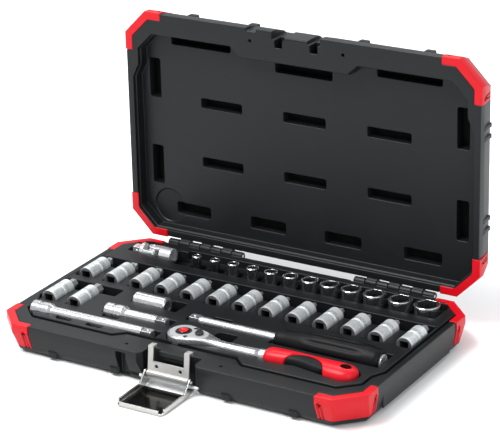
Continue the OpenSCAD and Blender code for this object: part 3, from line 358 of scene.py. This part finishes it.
def skin(rings):
    """A mesh over rings of points in millimetres, with its ends closed."""
    count = len(rings[0])
    points = [p for ring in rings for p in ring]
    faces = [(a * count + i, a * count + (i + 1) % count, (a + 1) * count + (i + 1) % count, (a + 1) * count + i)
             for a in range(len(rings) - 1) for i in range(count)]
    faces += [tuple(range(count - 1, -1, -1)), tuple(range((len(rings) - 1) * count, len(rings) * count))]
    mesh = bpy.data.meshes.new("skin")
    mesh.from_pydata([tuple(c * MM for c in p) for p in points], [], faces)
    work = bmesh.new()
    work.from_mesh(mesh)
    bmesh.ops.remove_doubles(work, verts=work.verts, dist=0.002 * MM)
    bmesh.ops.recalc_face_normals(work, faces=work.faces)
    work.to_mesh(mesh)
    work.free()
    mesh.shade_smooth()
    return mesh


def between(table, x):
    """Smooth value at x from a table of (x, values...) rows."""
    for (x0, *low), (x1, *high) in zip(table, table[1:]):
        if x <= x1:
            t = max(0.0, (x - x0) / (x1 - x0))
            t = t * t * (3 - 2 * t)
            return [a + (b - a) * t for a, b in zip(low, high)]
    return list(table[-1][1:])


def cut(piece, cutter_mesh, operation="DIFFERENCE"):
    """Cuts a piece with a closed mesh, or keeps what the two share."""
    tool = bpy.data.objects.new("cutter", cutter_mesh)
    bpy.context.scene.collection.objects.link(tool)
    step = piece.modifiers.new("Cut", "BOOLEAN")
    step.operation, step.object, step.solver = operation, tool, "EXACT"
    bake(piece)
    bpy.data.objects.remove(tool)


def round_rod(start, end, radius, count=64):
    """A closed round rod between two points, in millimetres."""
    start, end = Vector(start), Vector(end)
    turn = (end - start).to_track_quat("Z", "Y")
    rings = [[at + turn @ Vector((radius * math.cos(a), radius * math.sin(a), 0))
              for a in (2 * math.pi * i / count for i in range(count))] for at in (start, end)]
    mesh = skin(rings)
    mesh.shade_flat()
    return mesh


def soften(piece, width, segments=3, sharp=32):
    """Rounds a piece's sharp edges over and evens its shading."""
    round_over = piece.modifiers.new("Round over", "BEVEL")
    round_over.width, round_over.segments = width, segments
    round_over.limit_method, round_over.angle_limit = "ANGLE", math.radians(sharp)
    round_over.use_clamp_overlap = False
    round_over.loop_slide = False
    round_over.miter_outer = "MITER_ARC"
    even = piece.modifiers.new("Even shading", "WEIGHTED_NORMAL")
    even.weight = 80
    bake(piece)


def paint(node, finish):
    mesh = frame["nodes"][node].data
    mesh.materials.clear()
    mesh.materials.append(finish)


# ---------------------------------------------------------------- settings
def colour_setting(name, description, default):
    return bpy.props.FloatVectorProperty(name=name, description=description, default=default,
                                         subtype="COLOR", size=3, min=0, max=1)


def length_setting(name, description, default):
    return bpy.props.FloatProperty(name=name, description=description, default=default,
                                   min=0.0, unit="LENGTH", subtype="DISTANCE", precision=4)


class CaseSettings(bpy.types.PropertyGroup):
    shell_colour: colour_setting("Shell colour", "Colour of the blown case halves", (0.0082, 0.0096, 0.0104))
    cap_colour: colour_setting("Cap colour", "Colour of the corner caps", (0.53, 0.002, 0.009))
    shell_edge: length_setting("Shell edge", "Radius that the shells' edges are rounded over by", 0.0006)
    cap_edge: length_setting("Cap edge", "Radius that the caps' edges are rounded over by", 0.0005)
    sheet_edge: length_setting("Sheet edge", "Radius on the latch's sheet edges", 0.0002)


class ToolSettings(bpy.types.PropertyGroup):
    chrome_colour: colour_setting("Chrome", "Colour of polished chrome plate", (0.80, 0.81, 0.82))
    satin_colour: colour_setting("Satin steel", "Colour of satin chrome plate", (0.70, 0.73, 0.735))
    zinc_colour: colour_setting("Zinc", "Colour of the latch's zinc plate", (0.60, 0.595, 0.57))
    dark_colour: colour_setting("Black oxide", "Colour of blackened steel", (0.075, 0.076, 0.08))
    grip_colour: colour_setting("Grip", "Colour of the ratchet's grip", (0.56, 0.003, 0.011))
    soft_colour: colour_setting("Soft grip", "Colour of the soft black grips", (0.0035, 0.0038, 0.0043))
    steel_edge: length_setting("Steel edge", "Radius on machined edges", 0.00022)
    grip_edge: length_setting("Grip edge", "Radius on the grips' edges", 0.0012)
    flute_depth: length_setting("Flute depth", "Depth of the spinner grip's flutes", 0.0008)
    flute_count: bpy.props.IntProperty(name="Flutes", description="Flutes around the spinner grip",
                                       default=8, min=3, max=24)


FINISHES = {}


def make_finishes(case, tools):
    chrome = tuple(tools.chrome_colour)
    satin = tuple(tools.satin_colour)
    rows = [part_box(node)[0].y for node in ("bit_hex_5", "bit_hex_7")]
    button_low, button_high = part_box("ratchet_release_button")
    FINISHES.update(
        shell=make_plastic("shell_black", tuple(case.shell_colour), 0.38, 1500, 0.00003, 0.5, 0.22, True),
        cap=make_plastic("cap_red", tuple(case.cap_colour), 0.38, 1900, 0.00002, 0.15, 0.25),
        chrome=make_plate("chrome_plate", chrome, 0.07, 0.07, 900, 0.000004, metal=0.72),
        # The factor 1.8 lightens the socket rims: a painted highlight.
        socket=make_plate("socket_chrome", tone(chrome, 0.55), 0.05, 0.06, 900, 0.000004, metal=0.97, highlight_gain=1.8),
        satin=make_plate("satin_plate", satin, 0.28, 0.14, 2400, 0.00001, metal=0.45),
        drawn=make_plate("drawn_chrome", tone(chrome, 0.68), 0.2, 0.1, 1400, 0.00001, (0.06, 1, 1), 0.88),
        bit=make_bit_steel("bit_steel", tone(satin, 1.06), tone(satin, 0.36), (1, 0.1, 1), rows),
        cover=make_cover("cover_satin", tone(satin, 0.72), tuple(tools.dark_colour)),
        black=make_plate("black_steel", tone(tuple(tools.dark_colour), 0.3), 0.3, 0.2, 1800, 0.00001, metal=0.6),
        zinc=make_plate("zinc_sheet", tone(tuple(tools.zinc_colour), 0.68), 0.26, 0.2, 700, 0.00003, (1, 1, 0.2), 0.7),
        polished_zinc=make_plate("polished_sheet", tone(tuple(tools.zinc_colour), 0.75), 0.06, 0.1, 800, 0.00001,
                                 metal=0.97),
        forged=make_plate("forged_satin", tone(satin, 0.74), 0.16, 0.14, 1800, 0.00001, (0.3, 1, 1), 0.9),
        dark=make_plate("black_oxide", tone(tuple(tools.dark_colour), 0.7), 0.24, 0.2, 1800, 0.00001),
        grip=make_plastic("grip_red", tuple(tools.grip_colour), 0.36, 2400, 0.00002, 0.1, 0.25, True),
        soft=make_plastic("soft_black", tuple(tools.soft_colour), 0.46, 2600, 0.00003, 0.25, 0.14),
        button=make_plastic("button_red", tuple(tools.grip_colour), 0.25, 1200, 0.00001, 0.05, 0.3,
                            disc=((button_low + button_high) / 2, 3.25 * MM)),
    )


# ---------------------------------------------------------------- operators
class TOOLCASE_OT_shells(bpy.types.Operator):
    """Finish both halves of the case with rounded edges"""

    bl_idname = "toolcase.shells"
    bl_label = "Case shells"

    def execute(self, context):
        edge = context.scene.tool_case.shell_edge
        base = rounded("base_shell", FINISHES["shell"], edge)
        lid = rounded("lid_shell", FINISHES["shell"], edge)
        tray_top = 24.4
        hollow_floor, slot_floor = 10.5, 20.0
        shut = shut_turn()

        # Painted shade: points deep in the tray's and the lid's slots are darkened through the stored shade share.
        def base_recess_shade(p):
            inside = abs(p.x) < 137 and -74 < p.y < 80 and p.z > 3
            return (tray_top - 2.4 - p.z) / 5 if inside else 0.0

        def lid_recess_shade(p):
            place = shut @ (p * MM) / MM
            depth = place.z - RIM / MM
            inside = abs(p.x) < 134 and -73 < place.y < 76
            return (depth - hollow_floor - 0.6) / 4 if inside and depth < slot_floor + 0.7 else 0.0

        mark(base.data, base_recess_shade)
        mark(lid.data, lid_recess_shade)
        return {"FINISHED"}


def shut_turn():
    """The turn that shuts the open lid, about the hinge."""
    hinge = Matrix.Translation(HINGE)
    return hinge @ Matrix.Rotation(OPENED, 4, "X") @ hinge.inverted()


def groove_caps(piece, low_z, high_z, zone=(114.8, 56.3), offsets=(2.3, 4.9), width=1.0, depth=0.55):
    """Cuts two upright grooves near each end of each cap, as deep at the foot as at the rim."""
    seen = BVHTree.FromObject(piece, bpy.context.evaluated_depsgraph_get())
    levels = [low_z + (high_z - low_z) * i / 8 for i in range(9)]
    points, faces = [], []
    for sx in (-1, 1):
        for sy in (-1, 1):
            for side in (0, 1):
                for offset in offsets:
                    at = (zone[side] + offset) * (sx if side == 0 else sy)
                    out = Vector((0, sy, 0)) if side == 0 else Vector((sx, 0, 0))
                    over = Vector((1, 0, 0)) if side == 0 else Vector((0, 1, 0))
                    rings = []
                    for z in levels:
                        start = over * at + out * 300 + Vector((0, 0, z))
                        hit = seen.ray_cast(start * MM, -out)[0]
                        if hit is None:
                            continue
                        hit = hit / MM
                        rings.append([hit + over * a * width / 2 + out * b
                                      for a, b in ((-1, -depth), (1, -depth), (1, 2), (-1, 2))])
                    first = len(points)
                    points += [p * MM for ring in rings for p in ring]
                    n = len(rings)
                    faces += [(first + r * 4 + i, first + r * 4 + (i + 1) % 4, first + r * 4 + 4 + (i + 1) % 4,
                               first + r * 4 + 4 + i) for r in range(n - 1) for i in range(4)]
                    faces += [tuple(first + i for i in (3, 2, 1, 0)), tuple(first + n * 4 - 4 + i for i in range(4))]
    cutter = bpy.data.meshes.new("grooves")
    cutter.from_pydata(points, [], faces)
    work = bmesh.new()
    work.from_mesh(cutter)
    bmesh.ops.recalc_face_normals(work, faces=work.faces)
    work.to_mesh(cutter)
    work.free()
    cut(piece, cutter)


class TOOLCASE_OT_caps(bpy.types.Operator):
    """Finish the red corner caps and the hinge pins"""

    bl_idname = "toolcase.caps"
    bl_label = "Corner caps and hinge pins"

    def execute(self, context):
        edge = context.scene.tool_case.cap_edge
        for node, low_z, high_z in (("base_corner_caps", 2.6, 17.6), ("lid_corner_caps", 29.2, 43.4)):
            piece = new_piece(node + "_finished", merged_copy(node), FINISHES["cap"])
            turn = shut_turn() if node.startswith("lid") else Matrix.Identity(4)
            piece.data.transform(turn)
            groove_caps(piece, low_z, high_z)
            piece.data.shade_smooth()
            soften(piece, edge, 2)
            piece.data.transform(turn.inverted())
            settle(piece, node)
        paint("hinge_pins", FINISHES["satin"])
        return {"FINISHED"}


class TOOLCASE_OT_latch(bpy.types.Operator):
    """Finish the latch's lever, link and pins"""

    bl_idname = "toolcase.latch"
    bl_label = "Latch"

    def execute(self, context):
        edge = context.scene.tool_case.sheet_edge
        lever = rounded("latch_lever", FINISHES["polished_zinc"], edge)
        low, high = (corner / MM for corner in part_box("latch_lever"))
        # Painted shade: the lever's sunken floor inside its rim is darkened.
        mark(lever.data, lambda p: (low.z + 2.2 - p.z) / 0.8
             if low.x + 1.4 < p.x < high.x - 1.4 and p.y > low.y + 1.4 and p.z > low.z + 0.6 else 0.0)
        rounded("latch_link", FINISHES["zinc"], edge)
        paint("latch_lever_pin", FINISHES["satin"])
        paint("latch_link_pin", FINISHES["satin"])
        return {"FINISHED"}


def bore_points(piece, top):
    """The points of an upright socket's bore, a little below its mouth."""
    middle = sum((v.co for v in piece.data.vertices), Vector()) / len(piece.data.vertices)
    deep = [v for v in piece.data.vertices if top - 12 < v.co.z / MM < top - 2]
    wide = max((v.co.xy - middle.xy).length for v in deep)
    return [v for v in deep if (v.co.xy - middle.xy).length < wide - 0.5 * MM]


class TOOLCASE_OT_sockets(bpy.types.Operator):
    """Finish the upright hexagon sockets"""

    bl_idname = "toolcase.sockets"
    bl_label = "Sockets"

    def execute(self, context):
        edge = context.scene.case_tools.steel_edge
        for node in SOCKETS:
            piece = rounded(node, FINISHES["socket"], edge * 0.8)
            low, high = (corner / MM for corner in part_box(node))
            middle, top = (low + high) / 2, high.z
            mouth = max((v.co.xy / MM - middle.xy).length for v in bore_points(piece, top))
            # Painted shade: the bore below the mouth is darkened.
            mark(piece.data, lambda p: (top - 0.3 - p.z) / 3 if (p.xy - middle.xy).length < mouth + 0.05 else 0.0)
            # Painted highlight: the top rim is lightened.
            mark(piece.data, lambda p: (p.z - top + 0.9) / 0.3, "painted_highlight")
        return {"FINISHED"}


class TOOLCASE_OT_bits(bpy.types.Operator):
    """Finish the bit sockets"""

    bl_idname = "toolcase.bits"
    bl_label = "Bit sockets"

    def execute(self, context):
        edge = context.scene.case_tools.steel_edge
        for node in BITS:
            piece = rounded(node, FINISHES["bit"], edge * 0.7)
            low, high = (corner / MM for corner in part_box(node))
            middle = (low + high) / 2
            # Painted shade: the end face and the square drive hole are darkened, the hole fully.
            mark(piece.data, lambda p: 0.85 if p.y < low.y + 0.03 else 1.0 if p.y < low.y + 9.5
                 and max(abs(p.x - middle.x), abs(p.z - middle.z)) < 3.3 else 0.0)
        return {"FINISHED"}


class TOOLCASE_OT_bars(bpy.types.Operator):
    """Finish the extension bars, the bit adapter and the universal joint"""

    bl_idname = "toolcase.bars"
    bl_label = "Bars, adapter and joint"

    def execute(self, context):
        edge = context.scene.case_tools.steel_edge
        for node in ("extension_long", "extension_short", "bit_adapter"):
            rounded(node, FINISHES["drawn"], edge)
        for node in ("uj_socket_yoke", "uj_drive_yoke"):
            rounded(node, FINISHES["chrome"], edge)
        rounded("uj_cross", FINISHES["satin"], edge * 0.7)
        paint("bit_adapter_magnet", FINISHES["dark"])
        return {"FINISHED"}


def ratchet_place():
    """The middle of the ratchet's drive, in millimetres."""
    low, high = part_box("ratchet_release_button")
    body_low, body_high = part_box("ratchet_body")
    return Vector(((low.x + high.x) / 2, (low.y + high.y) / 2, (body_low.z + body_high.z) / 2)) / MM


def ratchet_handle_mesh(grip_start):
    """The forged head, neck and shank: one outline in plan whose thickness and edge radius follow its length."""
    at = ratchet_place()
    head_r, leave, neck_end, shank_w, top_inset = 11.4, math.radians(75), 30.0, 4.1, 0.35
    side = [(-head_r * math.cos(a), head_r * math.sin(a))
            for a in ((math.pi - leave) * i / 40 for i in range(41))]
    x0, w0 = side[-1]
    slope = -math.cos(leave) / math.sin(leave)
    span = neck_end - x0
    for i in range(1, 31):
        t = i / 30
        side.append((x0 + span * t, w0 * (2 * t**3 - 3 * t * t + 1) + slope * span * (t**3 - 2 * t * t + t)
                     + shank_w * (3 * t * t - 2 * t**3)))
    collar = [(neck_end, shank_w), (grip_start - 5.2, shank_w + 0.1), (grip_start - 4.4, 5.0),
              (grip_start - 0.6, 5.1), (grip_start + 0.2, 4.4), (grip_start + 8, 4.2)]
    side += [(x, between(collar, x)[0]) for x in
             [neck_end + 3 + 3 * i for i in range(9)] + [grip_start - 5.2 + 0.4 * i for i in range(15)]
             + [grip_start + 8]]
    form = [(-20, 5.5 - top_inset, 1.2), (14, 5.5 - top_inset, 1.2), (32, 3.7, 3.4), (grip_start - 5.2, 3.7, 3.6),
            (grip_start - 4.4, 5.0, 4.9), (grip_start - 0.6, 5.0, 4.9), (grip_start + 8, 4.0, 3.9)]
    rings = []
    turns = 9
    for k in range(2 * turns):
        up = 1 if k < turns else -1
        angle = math.radians(90) * (1 - k / (turns - 1)) if k < turns else math.radians(90) * (k - turns) / (turns - 1)
        ring = []
        for way in (1, -1):
            line = side if way == 1 else side[::-1]
            for x, w in line:
                half, edge = between(form, x)
                edge = min(edge, w * 0.96)
                inset = edge * (1 - math.cos(angle))
                wide = max(0.0, w - inset)
                back = inset if x < -head_r * 0.6 else 0.0
                pull = 1 - inset / head_r if x < 3 else 1.0
                ring.append((at.x + (x * pull if x < 3 else x), at.y + way * (w * pull if x < 3 else wide),
                             at.z + up * (half - edge + edge * math.sin(angle))))
        rings.append(ring)
    return skin(rings)


def ratchet_grip_mesh(grip_start, sink=0.0):
    """The grip's body: rounded sections that narrow at the waist and swell to a round end."""
    at = ratchet_place()
    g = grip_start
    # Along, half width, half thickness, offset across.
    form = [(g, 4.9, 4.9, 0.3), (g + 0.7, 6.4, 6.1, 0.4), (g + 2.4, 7.3, 6.9, 0.5), (g + 9, 7.5, 7.25, 0.7),
            (g + 24, 6.9, 7.25, 1.4), (g + 40, 8.1, 7.35, 0.1), (g + 52, 9.3, 7.45, -0.9), (g + 59, 9.45, 7.4, -1.0),
            (g + 64, 8.7, 7.0, -1.0), (g + 67.4, 6.7, 5.9, -1.0), (g + 69.2, 4.2, 4.2, -1.0), (g + 70, 1.6, 1.8, -1.0)]
    power, count = 2.5, 72
    xs = [row[0] for row in form]
    stations = sorted(set(xs + [g + 3 + 1.7 * i for i in range(33)] + [g + 60 + 0.8 * i for i in range(13)]))
    rings = []
    for x in stations:
        i = max(j for j in range(len(form) - 1) if form[j][0] <= x or j == 0)
        (x0, *low), (x1, *high) = form[i], form[i + 1]
        before, after = form[max(0, i - 1)], form[min(len(form) - 1, i + 2)]
        t = (x - x0) / (x1 - x0)
        values = []
        for c in range(3):
            m0 = (high[c] - before[c + 1]) / (x1 - before[0]) * (x1 - x0)
            m1 = (after[c + 1] - low[c]) / (after[0] - x0) * (x1 - x0)
            values.append(low[c] * (2*t**3 - 3*t*t + 1) + m0 * (t**3 - 2*t*t + t)
                          + high[c] * (3*t*t - 2*t**3) + m1 * (t**3 - t*t))
        wide, thick, across = values
        wide, thick = max(0.6, min(wide, 9.5) - sink), max(0.6, min(thick, 7.5) - sink)
        ring = []
        for k in range(count):
            a = 2 * math.pi * k / count
            c, s = math.cos(a), math.sin(a)
            scale = (abs(c)**power + abs(s)**power) ** (-1 / power)
            ring.append((at.x + x, at.y + across + wide * scale * c, at.z + thick * scale * s))
        rings.append(ring)
    return skin(rings)


class TOOLCASE_OT_ratchet(bpy.types.Operator):
    """Finish the ratchet's head, works and grip"""

    bl_idname = "toolcase.ratchet"
    bl_label = "Ratchet"

    def execute(self, context):
        tools = context.scene.case_tools
        at = ratchet_place()
        grip_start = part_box("ratchet_grip")[0].x / MM - at.x
        body = new_piece("ratchet_forged_body", ratchet_handle_mesh(grip_start), FINISHES["forged"])
        wheel_low, wheel_high = (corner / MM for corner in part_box("ratchet_drive_wheel"))
        works_floor, works_r, stem_r = at.z - 4.2, (wheel_high.x - wheel_low.x) / 2 + 0.3, 5.5
        cut(body, round_rod((at.x, at.y, works_floor), (at.x, at.y, 50), works_r))
        cut(body, round_rod((at.x, at.y, 0), (at.x, at.y, 50), stem_r))
        body.data.set_sharp_from_angle(angle=math.radians(60))
        settle(body, "ratchet_body")
        rounded("ratchet_cover", FINISHES["cover"], tools.steel_edge)
        rounded("ratchet_screws", FINISHES["black"], tools.steel_edge * 0.6)
        rounded("ratchet_reverse_lever", FINISHES["dark"], tools.steel_edge)
        button = rounded("ratchet_release_button", FINISHES["button"], tools.steel_edge)
        seat_gap = 0.06 * MM
        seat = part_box("ratchet_release_button")[0].z + seat_gap
        for vertex in button.data.vertices:
            vertex.co.z = max(vertex.co.z, seat)
        inlay_at = (at.x + grip_start + 31.4, at.y - 16.5)
        inlay_r, hang_x = 18.5, at.x + grip_start + 63.0 - 1.5
        for name, node, finish, sink in (("ratchet_moulded_grip", "ratchet_grip", "grip", 0.0),
                                         ("ratchet_soft_inlay", "ratchet_grip_inlay", "soft", 0.45)):
            piece = new_piece(name, ratchet_grip_mesh(grip_start, sink), FINISHES[finish])
            post = round_rod((*inlay_at, 0), (*inlay_at, 50), inlay_r - (0.15 if sink else 0), 96)
            cut(piece, post, "INTERSECT" if sink else "DIFFERENCE")
            if not sink:
                for shift in (-0.9, 0.9):
                    cut(piece, round_rod((hang_x + shift, at.y - 0.6, 0), (hang_x + shift, at.y - 0.6, 50), 2.8))
            soften(piece, 0.45 * MM, 3, 40)
            # Painted shade: the inside of the hang hole is darkened.
            mark(piece.data, lambda p: 1.0 if abs(p.y - at.y + 0.6) < 2.95
                 and max(0, abs(p.x - hang_x) - 0.9) ** 2 + (p.y - at.y + 0.6) ** 2 < 2.95 ** 2 else 0.0)
            settle(piece, node)
        paint("ratchet_drive_wheel", FINISHES["black"])
        paint("ratchet_button_spring", FINISHES["satin"])
        paint("ratchet_pawl", FINISHES["satin"])
        return {"FINISHED"}


def curve_points(node, points):
    """Sets a Float Curve node's straight-sided curve."""
    curve = node.mapping.curves[0]
    while len(curve.points) < len(points):
        curve.points.new(0.5, 0.5)
    for point, (x, y) in zip(curve.points, points):
        point.location, point.handle_type = (x, y), "VECTOR"
    node.mapping.update()


def spinner_grip_tree():
    """Geometry nodes for a turned, fluted grip: a sheet of points is wrapped round the shaft's axis."""
    tree = bpy.data.node_groups.new("fluted_grip", "GeometryNodeTree")
    tree.is_modifier = True
    for name, kind in (("Start", "NodeSocketVector"), ("Length", "NodeSocketFloat"), ("Radius", "NodeSocketFloat"),
                       ("Flutes", "NodeSocketInt"), ("Flute Depth", "NodeSocketFloat"),
                       ("Finish", "NodeSocketMaterial")):
        tree.interface.new_socket(name, in_out="INPUT", socket_type=kind)
    tree.interface.new_socket("Geometry", in_out="OUTPUT", socket_type="NodeSocketGeometry")
    add, link = tree.nodes.new, tree.links.new
    given = add("NodeGroupInput")
    result = add("NodeGroupOutput")
    size = lambda name: Wire(tree, given.outputs[name])
    sheet = add("GeometryNodeMeshGrid")
    sheet.inputs["Size X"].default_value = 1
    sheet.inputs["Size Y"].default_value = 1
    sheet.inputs["Vertices X"].default_value = 161
    sheet.inputs["Vertices Y"].default_value = 129
    split = add("ShaderNodeSeparateXYZ")
    link(add("GeometryNodeInputPosition").outputs[0], split.inputs[0])
    along = Wire(tree, split.outputs[0]) + 0.5
    angle = (Wire(tree, split.outputs[1]) + 0.5) * (2 * math.pi)

    def curve(points):
        node = add("ShaderNodeFloatCurve")
        curve_points(node, points)
        link(along.socket, node.inputs["Value"])
        return Wire(tree, node.outputs[0])

    # Share of the sheet, then place along the grip and radius, as shares of its length and full radius.
    outline = [(0.0, 0.0, 0.0), (0.05, 0.0, 0.56), (0.07, 0.02, 0.66), (0.15, 0.10, 0.70), (0.27, 0.24, 0.86),
               (0.38, 0.38, 0.985), (0.44, 0.46, 1.0), (0.66, 0.80, 1.0), (0.72, 0.90, 0.965), (0.77, 0.965, 0.89),
               (0.80, 0.99, 0.80), (0.82, 1.0, 0.70), (0.85, 1.0, 0.538), (0.93, 0.84, 0.538), (1.0, 0.84, 0.0)]
    place = curve([(u, x) for u, x, r in outline])
    radius = curve([(u, r) for u, x, r in outline]) * size("Radius")
    fluted = curve([(0, 0), (0.30, 0), (0.38, 1), (0.64, 1), (0.70, 0), (1, 0)])
    wave = (angle * size("Flutes")).math("COSINE", angle * size("Flutes")) * 0.5 + 0.5
    wave = wave.math("POWER", wave, 2.5)
    radius = radius - fluted * wave * size("Flute Depth")
    wrapped = add("ShaderNodeCombineXYZ")
    for i, value in enumerate((place * size("Length"), radius.math("MULTIPLY", radius, angle.math("COSINE", angle)),
                               radius.math("MULTIPLY", radius, angle.math("SINE", angle)))):
        link(value.socket, wrapped.inputs[i])
    moved = add("ShaderNodeVectorMath")
    link(wrapped.outputs[0], moved.inputs[0])
    link(given.outputs["Start"], moved.inputs[1])
    shape = add("GeometryNodeSetPosition")
    link(sheet.outputs["Mesh"], shape.inputs["Geometry"])
    link(moved.outputs[0], shape.inputs["Position"])
    welded = add("GeometryNodeMergeByDistance")
    welded.inputs["Distance"].default_value = 0.00001
    real = add("GeometryNodeRealizeInstances")
    coat = add("GeometryNodeSetMaterial")
    link(shape.outputs[0], welded.inputs["Geometry"])
    link(welded.outputs[0], real.inputs[0])
    link(real.outputs[0], coat.inputs["Geometry"])
    link(given.outputs["Finish"], coat.inputs["Material"])
    link(coat.outputs[0], result.inputs[0])
    return tree


def grown(name, tree, finish, **inputs):
    """A plain mesh grown by a geometry nodes tree with these inputs."""
    piece = bpy.data.objects.new(name, bpy.data.meshes.new(name))
    bpy.context.scene.collection.objects.link(piece)
    growth = piece.modifiers.new("Growth", "NODES")
    growth.node_group = tree
    inputs["Finish"] = finish
    for item in tree.interface.items_tree:
        if item.in_out == "INPUT":
            growth[item.identifier] = inputs[item.name.replace(" ", "_")]
    bake(piece)
    work = bmesh.new()
    work.from_mesh(piece.data)
    bmesh.ops.recalc_face_normals(work, faces=work.faces)
    work.to_mesh(piece.data)
    work.free()
    piece.data.shade_smooth()
    piece.data.set_sharp_from_angle(angle=math.radians(40))
    return piece


class TOOLCASE_OT_spinner(bpy.types.Operator):
    """Finish the spinner handle"""

    bl_idname = "toolcase.spinner"
    bl_label = "Spinner handle"

    def execute(self, context):
        tools = context.scene.case_tools
        rounded("spinner_shaft", FINISHES["drawn"], tools.steel_edge)
        low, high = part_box("spinner_grip")
        middle = (low + high) / 2
        grip = grown("spinner_fluted_grip", spinner_grip_tree(), FINISHES["soft"],
                     Start=(low.x, middle.y, middle.z), Length=high.x - low.x, Radius=(high.y - low.y) / 2,
                     Flutes=tools.flute_count, Flute_Depth=tools.flute_depth)
        settle(grip, "spinner_grip")
        rounded("spinner_insert", FINISHES["chrome"], tools.steel_edge)
        return {"FINISHED"}


class TOOLCASE_OT_stage(bpy.types.Operator):
    """Set up the floor, the lights and the camera"""

    bl_idname = "toolcase.stage"
    bl_label = "Stage"

    def execute(self, context):
        scene = context.scene
        floor_mesh = bpy.data.meshes.new("floor")
        reach = 9.0
        floor_mesh.from_pydata([(-reach, -reach, 0), (reach, -reach, 0), (reach, reach, 0), (-reach, reach, 0)],
                               [], [(0, 1, 2, 3)])
        pale = Finish("floor_paper", Specular_IOR_Level=0.2)
        pale.set("Base Color", pale.mix(pale.noise(3, 2), (0.86, 0.86, 0.86), (0.9, 0.9, 0.9)))
        pale.set("Roughness", 0.75 + pale.noise(40, 2) * 0.1)
        floor = new_piece("floor", floor_mesh, pale.material)
        floor.location.z = CAD_LOW.z

        def lamp(name, place, aim, size, energy):
            data = bpy.data.lights.new(name, "AREA")
            data.shape = "RECTANGLE"
            data.size, data.size_y = size
            data.energy = energy
            made = bpy.data.objects.new(name, data)
            made.location = place
            made.rotation_euler = (Vector(aim) - Vector(place)).to_track_quat("-Z", "Y").to_euler()
            scene.collection.objects.link(made)

        lamp("key", (-0.5, -0.6, 1.5), (0, 0, 0.05), (1.0, 0.8), 34)
        lamp("fill", (1.4, -0.7, 0.8), (0, 0, 0.05), (0.8, 0.8), 8)
        lamp("back", (-0.3, 1.2, 1.5), (0, 0, 0.05), (1.8, 0.5), 18)

        scene.view_settings.view_transform = "Standard"
        world = bpy.data.worlds.new("studio")
        scene.world = world
        world.use_nodes = True
        world.node_tree.nodes["Background"].inputs[0].default_value = (0.9, 0.92, 0.95, 1)
        world.node_tree.nodes["Background"].inputs[1].default_value = 0.75

        data = bpy.data.cameras.new("camera")
        data.lens = 167.41
        data.sensor_width = 36
        data.sensor_fit = "HORIZONTAL"
        data.clip_end = 30
        camera = bpy.data.objects.new("camera", data)
        right = Vector((0.85299, 0.520875, -0.033123))
        up = Vector((-0.169376, 0.336284, 0.926404))
        back = right.cross(up)
        turn = Matrix((right, up, back)).transposed().to_4x4()
        camera.matrix_world = Matrix.Translation((0.800808, -1.246573, 0.670476 + RIM)) @ turn
        scene.collection.objects.link(camera)
        scene.camera = camera
        return {"FINISHED"}


class TOOLCASE_PT_panel(bpy.types.Panel):
    """The tool case's sizes, colours and steps"""

    bl_idname = "TOOLCASE_PT_panel"
    bl_label = "Tool Case"
    bl_space_type = "VIEW_3D"
    bl_region_type = "UI"
    bl_category = "Tool Case"

    def draw(self, context):
        for group in (context.scene.tool_case, context.scene.case_tools):
            box = self.layout.box()
            for name in group.__annotations__:
                box.prop(group, name)
        for step in STEPS:
            self.layout.operator(step.bl_idname)


STEPS = (TOOLCASE_OT_shells, TOOLCASE_OT_caps, TOOLCASE_OT_latch, TOOLCASE_OT_sockets, TOOLCASE_OT_bits,
         TOOLCASE_OT_bars, TOOLCASE_OT_ratchet, TOOLCASE_OT_spinner, TOOLCASE_OT_stage)
CLASSES = (CaseSettings, ToolSettings, *STEPS, TOOLCASE_PT_panel)


def register():
    for made in CLASSES:
        bpy.utils.register_class(made)
    bpy.types.Scene.tool_case = bpy.props.PointerProperty(type=CaseSettings)
    bpy.types.Scene.case_tools = bpy.props.PointerProperty(type=ToolSettings)


def unregister():
    del bpy.types.Scene.tool_case
    del bpy.types.Scene.case_tools
    for made in reversed(CLASSES):
        bpy.utils.unregister_class(made)


def main():
    register()
    scene = bpy.context.scene
    make_finishes(scene.tool_case, scene.case_tools)
    for step in STEPS:
        getattr(bpy.ops.toolcase, step.bl_idname.split(".")[1])()


if __name__ == "__main__":
    main()
